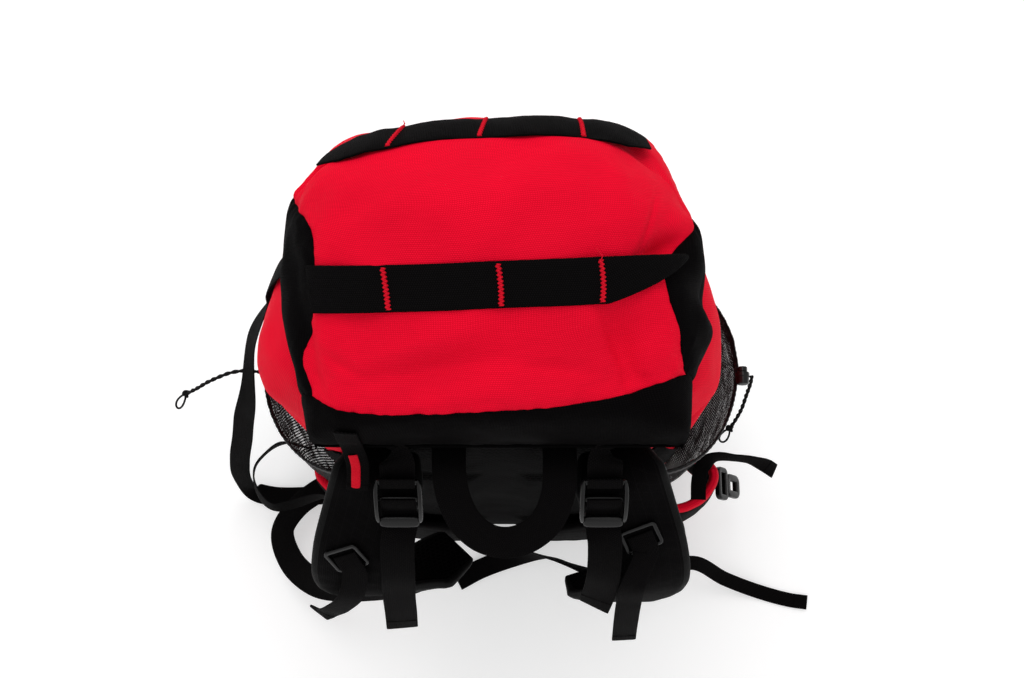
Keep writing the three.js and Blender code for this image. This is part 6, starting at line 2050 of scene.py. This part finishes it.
@dataclass
class Harness:
    """The shoulder pads, the loop between them and everything that hangs on them."""

    wardrobe: Wardrobe

    @staticmethod
    def _pad_width(share: Grid) -> Grid:
        """Width of a shoulder pad along its course: narrower towards both ends."""
        return PAD_WIDTH * np.minimum.reduce([np.ones_like(share), 0.72 + 2 * share, 0.62 + 3.8 * (1 - share)])

    @staticmethod
    def _pad_thickness(share: Grid) -> Grid:
        """Thickness of a shoulder pad along its course: thinner towards both ends."""
        return PAD_THICKNESS * np.minimum.reduce([np.ones_like(share), 0.7 + 4 * share, 0.5 + 5 * (1 - share)])

    def _pads(self) -> None:
        """Makes both shoulder pads."""
        for seed, (name, table) in enumerate((("left", LEFT_PAD_ROUTE), ("right", RIGHT_PAD_ROUTE))):
            Cushion(
                self.wardrobe,
                f"shoulder_pad_{name}",
                rows_of(table),
                self._pad_width,
                self._pad_thickness,
                Wardrobe.pad,
                Wardrobe.spacer,
                Wardrobe.binding,
                seed=51 + seed,
            ).build()

    def _lifter(self, name: str, tail_table: Table, turn: float) -> None:
        """Makes a load lifter: its loop, its lock and the strap that hangs from the lock.

        Args:
            name: left or right.
            tail_table: the route of the hanging strap.
            turn: where the loop is sewn to the bag, as a share of a turn.
        """
        tail = rows_of(tail_table)
        down, out = vector(0, -0.634, -0.774), vector(0, -0.774, 0.634)
        top = tail[0].point - down * (LOCK_LENGTH - 2 * LOCK_BAR)

        def at(along: float, lift: float) -> Row:
            """A place along the lock and lifted off it."""
            return Row(top + down * along + out * lift, out)

        axes = Axes.facing(at(LOCK_LENGTH / 2, 0).point, vector(1, 0, 0), out)
        LadderLock(self.wardrobe, f"ladder_lock_{name}", axes).build()
        clear = LOCK_THICKNESS / 2 + WEBBING / 2 + SEAM_GAP
        fold = (
            (-14 * MM, -clear),
            (-2 * MM, -clear),
            (LOCK_BAR + 1 * MM, -clear * 0.85),
            (LOCK_BAR + 1.6 * MM, 0),
            (LOCK_BAR + 1 * MM, clear * 0.85),
            (LOCK_BAR / 2, clear),
            (-3 * MM, clear),
        )
        loop = [at(*place).point for place in fold]
        faces = []
        for i in range(len(loop)):
            run = loop[min(i + 1, len(loop) - 1)] - loop[max(i - 1, 0)]
            faces.append(unit(np.cross(vector(1, 0, 0), run)))
        sewn = on_body(turn, 1, BACK_PAD)
        start = Row(sewn.point + vector(0, 0, LAID_GAP), vector(0, 0, 1))
        rows = [start, *(Row(point, face) for point, face in zip(loop, faces))]
        Strap(self.wardrobe, f"load_lifter_{name}", rows, LIFTER_WIDTH - 2 * MM, bow=0.0).build()

        window_length = (LOCK_LENGTH - 4 * LOCK_BAR) / 2
        window = 2 * LOCK_BAR + window_length
        rows = [
            at(window - LOCK_BAR, clear),
            at(window, clear),
            at(window + window_length / 2, 0),
            at(window + window_length, -clear),
            at(LOCK_LENGTH - LOCK_BAR / 2, -clear),
            at(LOCK_LENGTH + LOCK_BAR, -clear),
            *tail[1:],
        ]
        Strap(self.wardrobe, f"lifter_tail_{name}", rows, LIFTER_WIDTH - 2 * MM, hem=17 * MM).build()

    def _ring(self, name: str, pad: Table, share: float, across: float, turn: float, tail: Table) -> None:
        """Makes a slider ring on a pad and the chest strap that comes out through it.

        Args:
            name: left or right.
            pad: the route of the pad.
            share: place along the pad.
            across: place across the pad, as a share of its width.
            turn: how far the ring is turned on the pad, in radians.
            tail: the route of the strap's free end.
        """
        middle, side, _, out = (v[0] for v in Course(rows_of(pad)).frame(np.array([share])))
        lift = PAD_CROWN * PAD_THICKNESS + SEAM_GAP + RING_THICKNESS / 2
        centre = middle + side * across * PAD_WIDTH + out * lift
        turned = side * math.cos(turn) + np.cross(out, side) * math.sin(turn)
        SliderRing(self.wardrobe, f"slider_ring_{name}", Axes.facing(centre, turned, out)).build()
        down = np.cross(out, turned)
        over, end = RING_THICKNESS / 2 + WEBBING / 2 + 2 * SEAM_GAP, RING_LENGTH / 2
        steps = ((-end / 3, 0), (end / 4, over * 0.55), (end - RING_BAR, over), (end, over))
        rows = [Row(centre + down * along + out * rise, out) for along, rise in steps]
        rows += rows_of(tail)
        Strap(self.wardrobe, f"sternum_strap_{name}", rows, STERNUM_WIDTH, hem=12 * MM).build()

    def build(self) -> None:
        """Makes every piece of the harness."""
        self._pads()
        Strap(self.wardrobe, "haul_loop", rows_of(HAUL_ROUTE), HAUL_WIDTH).build()
        self._lifter("left", LEFT_TAIL_ROUTE, 0.64)
        self._lifter("right", RIGHT_TAIL_ROUTE, 0.8605)
        self._ring("left", LEFT_PAD_ROUTE, 0.42, 0.1, 0.7, LEFT_STERNUM_ROUTE)
        self._ring("right", RIGHT_PAD_ROUTE, 0.36, -0.02, 0.1, RIGHT_STERNUM_ROUTE)
        carrier = rows_of(RIGHT_LOWER_ROUTE)
        Strap(self.wardrobe, "lower_strap_left", rows_of(LEFT_LOWER_ROUTE), LOWER_WIDTH).build()
        Strap(self.wardrobe, "lower_strap_right", carrier, LOWER_WIDTH).build()
        laid = WEBBING + SEAM_GAP
        floor_rows = [Course(carrier).beside(0.5, laid), *rows_of(FLOOR_TAIL_ROUTE)]
        Strap(self.wardrobe, "floor_strap_right", floor_rows, TAIL_WIDTH, hem=14 * MM).build()
        centre_rows = [Course(carrier).beside(0.03, -laid), *rows_of(CENTRE_TAIL_ROUTE)]
        Strap(self.wardrobe, "floor_strap_centre", centre_rows, STERNUM_WIDTH, hem=14 * MM).build()


@dataclass
class HipBelt:
    """The two wings of the hip belt, their straps and the buckle on the right."""

    wardrobe: Wardrobe
    drop: float = 19 * MM
    lean: float = 0.6435

    @staticmethod
    def _height(share: Grid) -> Grid:
        """Height of a wing along its course."""
        return HIP_HEIGHT * np.minimum.reduce([np.ones_like(share), 0.75 + share, 0.55 + 2.2 * (1 - share)])

    @staticmethod
    def _thickness(share: Grid) -> Grid:
        """Thickness of a wing along its course."""
        return HIP_THICKNESS * np.minimum.reduce([np.ones_like(share), 0.6 + 5 * share, 0.55 + 5 * (1 - share)])

    @staticmethod
    def _hug(table: Table) -> list[Row]:
        """Rows that follow the bag at the height of the belt."""
        rows = []
        for turn, off in table.rows:
            lift = BACK_PAD - CLOTH + LAID_GAP + HIP_THICKNESS / 2 + off * HALF_DEPTH
            row = on_body(turn, HIP_MIDDLE + 0.02, lift)
            point = vector(row.point[0], row.point[1], HIP_MIDDLE * BODY_HEIGHT)
            rows.append(Row(point, vector(row.face[0], row.face[1], 0)))
        return rows

    def build(self) -> None:
        """Makes every piece of the belt."""
        left = self._hug(LEFT_WING)[::-1]
        right = [*self._hug(RIGHT_WING), *rows_of(RIGHT_WING_ROUTE)]
        trimmed = (("left", left, (0.0, 0.5)), ("right", right, (0.42, 1.0)))
        for seed, (name, rows, red_span) in enumerate(trimmed):
            Cushion(
                self.wardrobe,
                f"hip_wing_{name}",
                rows,
                self._height,
                self._thickness,
                Wardrobe.pad,
                Wardrobe.spacer,
                Wardrobe.trim,
                edge_band=0.24,
                edge_span=red_span,
                seed=61 + seed,
            ).build()
        lift = HIP_THICKNESS / 2 + WEBBING + LAID_GAP
        on_wing = []
        for share in (0.11, 0.2):
            row = Course(left).beside(share, lift)
            point = vector(row.point[0], row.point[1], HIP_MIDDLE * BODY_HEIGHT - HIP_STRAP_WIDTH)
            on_wing.append(Row(point, row.face))
        loop = [*rows_of(HIP_LOOP_ROUTE), *on_wing]
        Strap(self.wardrobe, "hip_strap_left", loop, HIP_STRAP_WIDTH).build()
        tail = rows_of(HIP_TAIL_ROUTE)
        Strap(self.wardrobe, "hip_tail_right", tail, TAIL_WIDTH, hem=14 * MM).build()
        c, s = math.cos(self.lean), math.sin(self.lean)
        leans = (HIP_BUCKLE_LENGTH * s + HIP_BUCKLE_THICKNESS * c) / 2
        seat = Course(right).beside(0.75, HIP_THICKNESS / 2 + leans - 0.1 * MM)
        axes = Axes.facing(seat.point - vector(0, 0, self.drop), vector(0, 1, 0), vector(c, 0, s))
        HipBuckle(self.wardrobe, axes).build()


@dataclass
class LidStraps:
    """The straps that hold the lid down in front, its anchor strap, and the strap on the left."""

    wardrobe: Wardrobe
    tack_width: float = 6 * MM
    tack_length: float = 31 * MM

    def _front(self) -> None:
        """Makes the two front straps and their buckles."""
        lift = LAID_GAP + WEBBING / 2
        for name, side, turn in (("left", -0.34, 0.339), ("right", 0.34, 0.161)):
            on_lid = []
            for over in (0.91, 0.945, 0.98):
                out = outward(lid_point, side, over)
                on_lid.append(Row(lid_point(side, over) + out * lift, out))
            edge = vector(on_lid[2].point[0], LID_DEPTH - LID_SET_BACK + 5 * LAID_GAP, LID_BASE - LID_DROP)
            on_lid[2] = Row(edge, on_lid[2].face)
            places = ((0.86, 2.0), (0.76, 1.4), (0.66, 0.8))
            rows = [*on_lid, *(on_body(turn, rise, times * lift) for rise, times in places)]
            Strap(self.wardrobe, f"lid_strap_{name}", rows, LID_STRAP_WIDTH, hem=14 * MM, bow=0.1 * MM).build()
            seat = on_body(turn, 0.78, 3 * lift + BUCKLE_THICKNESS / 2 + SEAM_GAP)
            Clasp(self.wardrobe, f"lid_buckle_{name}", Axes.facing(seat.point, vector(1, 0, 0), seat.face)).build()

    def _anchor(self) -> None:
        """Makes the strap on the back band, with its red tack."""
        lift = LAID_GAP + WEBBING / 2
        rows = []
        for over in (0.11, 0.07, 0.03):
            out = outward(lid_point, -0.5, over)
            rows.append(Row(lid_point(-0.5, over) + out * lift, out))
        rows += rows_of(LID_ANCHOR_ROUTE)
        strap = Strap(self.wardrobe, "lid_anchor_strap", rows, LID_STRAP_WIDTH - 3 * MM, hem=6 * MM)
        strap.build(lambda maker: self._tack(maker, strap), finishes=(Wardrobe.stitch,))

    def _tack(self, maker: MeshMaker, strap: Strap) -> None:
        """Adds the red tack along the outer face of the anchor strap, near its right edge.

        Args:
            maker: collects the strap.
            strap: the anchor strap.
        """
        course, share, length = strap.stations()
        total = length[-1]
        wanted = np.linspace(total - self.tack_length - 4 * MM, total - 4 * MM, 90)
        middle, side, _, out = course.frame(np.interp(wanted, length, share))
        u = np.linspace(-1, 1, 9)
        ripple = 0.6 + 0.4 * np.abs(np.sin(math.pi * wanted / (1.5 * MM)))[:, None]
        high = WEBBING / 2 + 0.9 * MM + 0.9 * MM * np.sqrt(1 - 0.92 * u**2) * ripple
        x = 1.5 * MM + u * self.tack_width / 2
        outer = middle[:, None] + side[:, None] * x[None, :, None] + out[:, None] * high[..., None]
        inner = middle[:, None] + side[:, None] * x[None, :, None] + out[:, None] * (WEBBING / 2)
        maker.shell(outer[:, ::-1], np.broadcast_to(inner, outer.shape)[:, ::-1], finish=1)

    def build(self) -> None:
        """Makes every strap."""
        self._front()
        self._anchor()
        lift = LAID_GAP + WEBBING / 2
        sewn = [on_body(0.467, 0.93, 0.6 * lift), on_body(0.47, 0.86, 2 * lift), on_body(0.474, 0.77, 2 * lift)]
        rows = [*sewn, on_body(0.476, 0.7, 4 * lift), *rows_of(SIDE_STRAP_ROUTE)]
        Strap(self.wardrobe, "side_strap_left", rows, SIDE_STRAP_WIDTH, hem=14 * MM).build()


@dataclass
class PocketCord:
    """The doubled elastic cord of a pocket hem, its knot and the eye behind the knot."""

    wardrobe: Wardrobe
    hand: Hand
    points: Sequence[Sequence[float]]
    eye: Sequence[float]
    strand: float = 2.1 * MM
    twist: float = 16 * MM

    def _line(self, count: int) -> Grid:
        """The middle line of the cord, evenly divided."""
        points = np.array([Pocket.from_hem(self.hand, offset) for offset in self.points])
        fine = centripetal(points, np.linspace(0, 1, 800))
        run = np.concatenate([[0], np.cumsum(np.linalg.norm(np.diff(fine, axis=0), axis=1))])
        wanted = np.linspace(0, run[-1], count)
        return np.stack([np.interp(wanted, run, fine[:, k]) for k in range(3)], axis=-1)

    def _cord(self, line: Grid) -> MeshMaker:
        """The cord: two strands side by side that turn slowly round each other.

        A section's reach is the strand's radius plus the distance of the strands, times the
        cosine's size, and the section turns with the length.

        Args:
            line: the middle line.

        Returns:
            The maker with the cord in it.
        """
        along = unit(np.gradient(line, axis=0))
        spread = np.linalg.svd(line - line.mean(axis=0), full_matrices=True)[2][-1]
        first = unit(np.cross(along, spread))
        second = np.cross(along, first)
        run = np.concatenate([[0], np.cumsum(np.linalg.norm(np.diff(line, axis=0), axis=1))])
        angle = 2 * math.pi * np.arange(20) / 20
        reach = self.strand / 2 + (CORD_DIAMETER - self.strand) / 2 * np.abs(np.cos(angle)) ** 1.5
        turn = 2 * math.pi * run / self.twist
        c, s = np.cos(angle + turn[:, None]) * reach, np.sin(angle + turn[:, None]) * reach
        rings = line[:, None] + c[..., None] * first[:, None] + s[..., None] * second[:, None]
        uv = np.stack(np.broadcast_arrays(run[:, None], (angle * CORD_DIAMETER / 2)[None]), axis=-1)
        maker = MeshMaker(f"pocket_cord_{self.hand.value}_elastic")
        maker.tube(rings, uv)
        return maker

    def build(self) -> None:
        """Makes the cord with its knot and its eye."""
        name = f"pocket_cord_{self.hand.value}"
        line = self._line(160)
        cord = dress(self._cord(line).build(self.wardrobe.of(Wardrobe.cord)), name)
        knot_at = line[-1]
        reach = Pocket.from_hem(self.hand, self.eye) - knot_at
        across = np.cross(reach, vector(0, 0, 1))
        axes = Axes.facing(knot_at, across, np.cross(across, reach))
        turn = np.linspace(0, 2 * math.pi, 121)[:-1]
        loop = np.stack(
            [np.sin(turn) + 2 * np.sin(2 * turn), np.cos(turn) - 2 * np.cos(2 * turn), -1.2 * np.sin(3 * turn)],
            axis=-1,
        )
        knot_line = axes.put(loop * (KNOT_DIAMETER / 2 - 1.1 * MM) / 3)
        maker = MeshMaker(f"{name}_knot")
        self._closed(maker, knot_line, 1.35 * MM)
        middle = vector(0, -(KNOT_DIAMETER / 4 + END_LOOP_LENGTH / 2), 0)
        narrow = 0.55 + 0.45 * (1 - np.cos(turn)) / 2
        eye = np.stack(
            [np.sin(turn) * END_LOOP_LENGTH / 4 * narrow, np.cos(turn) * END_LOOP_LENGTH / 2, 0 * turn],
            axis=-1,
        )
        direction = 1 if float(axes.y @ reach) < 0 else -1
        self._closed(maker, axes.put((eye + middle) * vector(1, direction, 1)), 1.0 * MM)
        knot = maker.build(self.wardrobe.of(Wardrobe.cord))
        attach(knot, "root")
        path = [tuple(float(v) for v in point) for point in line[:: len(line) // 26]]
        path.append(tuple(float(v) for v in line[-1]))

    @staticmethod
    def _closed(maker: MeshMaker, line: Grid, radius: float) -> None:
        """Adds a closed round cord: rings square to the line, their first direction held to a fixed one."""
        along = unit(np.roll(line, -1, axis=0) - np.roll(line, 1, axis=0))
        inward = unit(line.mean(axis=0) - line + vector(0, 0, 1e-6))
        second = unit(np.cross(along, inward))
        first = np.cross(second, along)
        angle = 2 * math.pi * np.arange(10) / 10
        spin = np.cos(angle)[:, None] * first[:, None] + np.sin(angle)[:, None] * second[:, None]
        rings = line[:, None] + radius * spin
        maker.tube(rings, plain_uv(rings), 0, closed=True)


@dataclass
class CordLock:
    """The barrel lock on the right pocket's cord, with the head of its plunger."""

    wardrobe: Wardrobe

    def build(self) -> None:
        """Makes the lock: a radius that changes along its axis, turned round it."""
        centre = Pocket.from_hem(Hand.RIGHT, RIGHT_CORD_LOCK)
        half, radius = CORD_LOCK_LENGTH / 2, CORD_LOCK_DIAMETER / 2
        places = np.array([-1, -0.98, -0.9, -0.2, -0.12, 0.3, 0.34, 0.42, 0.46, 0.93, 0.99, 1.0]) * half
        radii = np.array([0.3, 0.72, 0.86, 0.9, 1.0, 1.0, 0.8, 0.62, 0.72, 0.72, 0.6, 0.3]) * radius
        fine = np.linspace(-half, half, 61)
        size = np.interp(fine, places, radii)
        angle = 2 * math.pi * np.arange(32) / 32
        ridged = size[:, None] * (1 + 0.03 * np.cos(8 * angle))
        points = [centre[0] + ridged * np.cos(angle), np.broadcast_to(centre[1] + fine[:, None], ridged.shape), centre[2] + ridged * np.sin(angle)]
        rings = np.stack(points, axis=-1)[:, ::-1]
        maker = MeshMaker("cord_lock_moulding")
        maker.tube(rings, plain_uv(rings), 0)
        dress(maker.build(self.wardrobe.of(Wardrobe.plastic)), "cord_lock_right")


@dataclass
class Studio:
    """The white floor, the soft light and the camera."""

    floor_size: float = 14.0
    camera_place: tuple[float, float, float] = (0.010, -0.339, 1.5285)
    camera_tilt: float = 16.0
    lens: float = 50.0
    sky: float = 0.74

    def _lamp(self, name: str, place: Sequence[float], size: float, power: float) -> None:
        """Adds a soft square lamp aimed at the bag.

        Args:
            name: of the lamp.
            place: where it hangs.
            size: of its square.
            power: in watts.
        """
        light = bpy.data.lights.new(name, "AREA")
        light.shape = "SQUARE"
        light.size = size
        light.energy = power
        lamp = bpy.data.objects.new(name, light)
        aim = vector(0, 0, 0.3) - np.array(place)
        yaw = math.atan2(aim[1], aim[0]) - math.pi / 2
        tilt = math.atan2(math.hypot(aim[0], aim[1]), -aim[2])
        lamp.location = place
        lamp.rotation_euler = (tilt, 0, yaw)
        bpy.context.scene.collection.objects.link(lamp)

    def build(self) -> None:
        """Makes the floor, the lights and the camera."""
        scene = bpy.context.scene
        scene.view_settings.view_transform = "Standard"
        half = self.floor_size / 2
        mesh = bpy.data.meshes.new("studio_floor")
        mesh.from_pydata([(-half, -half, 0), (half, -half, 0), (half, half, 0), (-half, half, 0)], [], [(0, 1, 2, 3)])
        floor = bpy.data.objects.new("studio_floor", mesh)
        material = bpy.data.materials.new("pale_floor")
        material.use_nodes = True
        shader = material.node_tree.nodes["Principled BSDF"]
        shader.inputs["Base Color"].default_value = (0.72, 0.72, 0.72, 1)
        shader.inputs["Emission Color"].default_value = (1, 1, 1, 1)
        shader.inputs["Emission Strength"].default_value = 0.42
        shader.inputs["Roughness"].default_value = 0.9
        shader.inputs["Specular IOR Level"].default_value = 0.1
        mesh.materials.append(material)
        scene.collection.objects.link(floor)

        world = bpy.data.worlds.new("soft_light")
        world.use_nodes = True
        world.node_tree.nodes["Background"].inputs["Color"].default_value = (1, 1, 1, 1)
        world.node_tree.nodes["Background"].inputs["Strength"].default_value = self.sky
        scene.world = world
        self._lamp("overhead_softbox", (-0.25, 1.0, 2.4), 1.5, 21)
        self._lamp("front_fill", (0.9, -1.6, 2.0), 1.4, 3)

        camera = bpy.data.objects.new("photo_camera", bpy.data.cameras.new("photo_camera"))
        camera.location = self.camera_place
        camera.rotation_euler = (math.radians(self.camera_tilt), 0, 0)
        camera.data.lens = self.lens
        camera.data.sensor_width = 36
        camera.data.clip_start = 0.05
        camera.data.clip_end = 60
        scene.collection.objects.link(camera)
        scene.camera = camera


def main() -> None:
    """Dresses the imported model."""
    logging.basicConfig(level=logging.INFO, format="%(name)s %(message)s")
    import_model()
    wardrobe = Wardrobe()
    Bag(wardrobe).build()
    Lid(wardrobe).build()
    for hand in Hand:
        Pocket(wardrobe, hand).build()
    Harness(wardrobe).build()
    HipBelt(wardrobe).build()
    LidStraps(wardrobe).build()
    PocketCord(wardrobe, Hand.LEFT, LEFT_CORD, LEFT_EYE).build()
    PocketCord(wardrobe, Hand.RIGHT, RIGHT_CORD, RIGHT_EYE).build()
    CordLock(wardrobe).build()
    Studio().build()


if __name__ == "__main__":
    main()
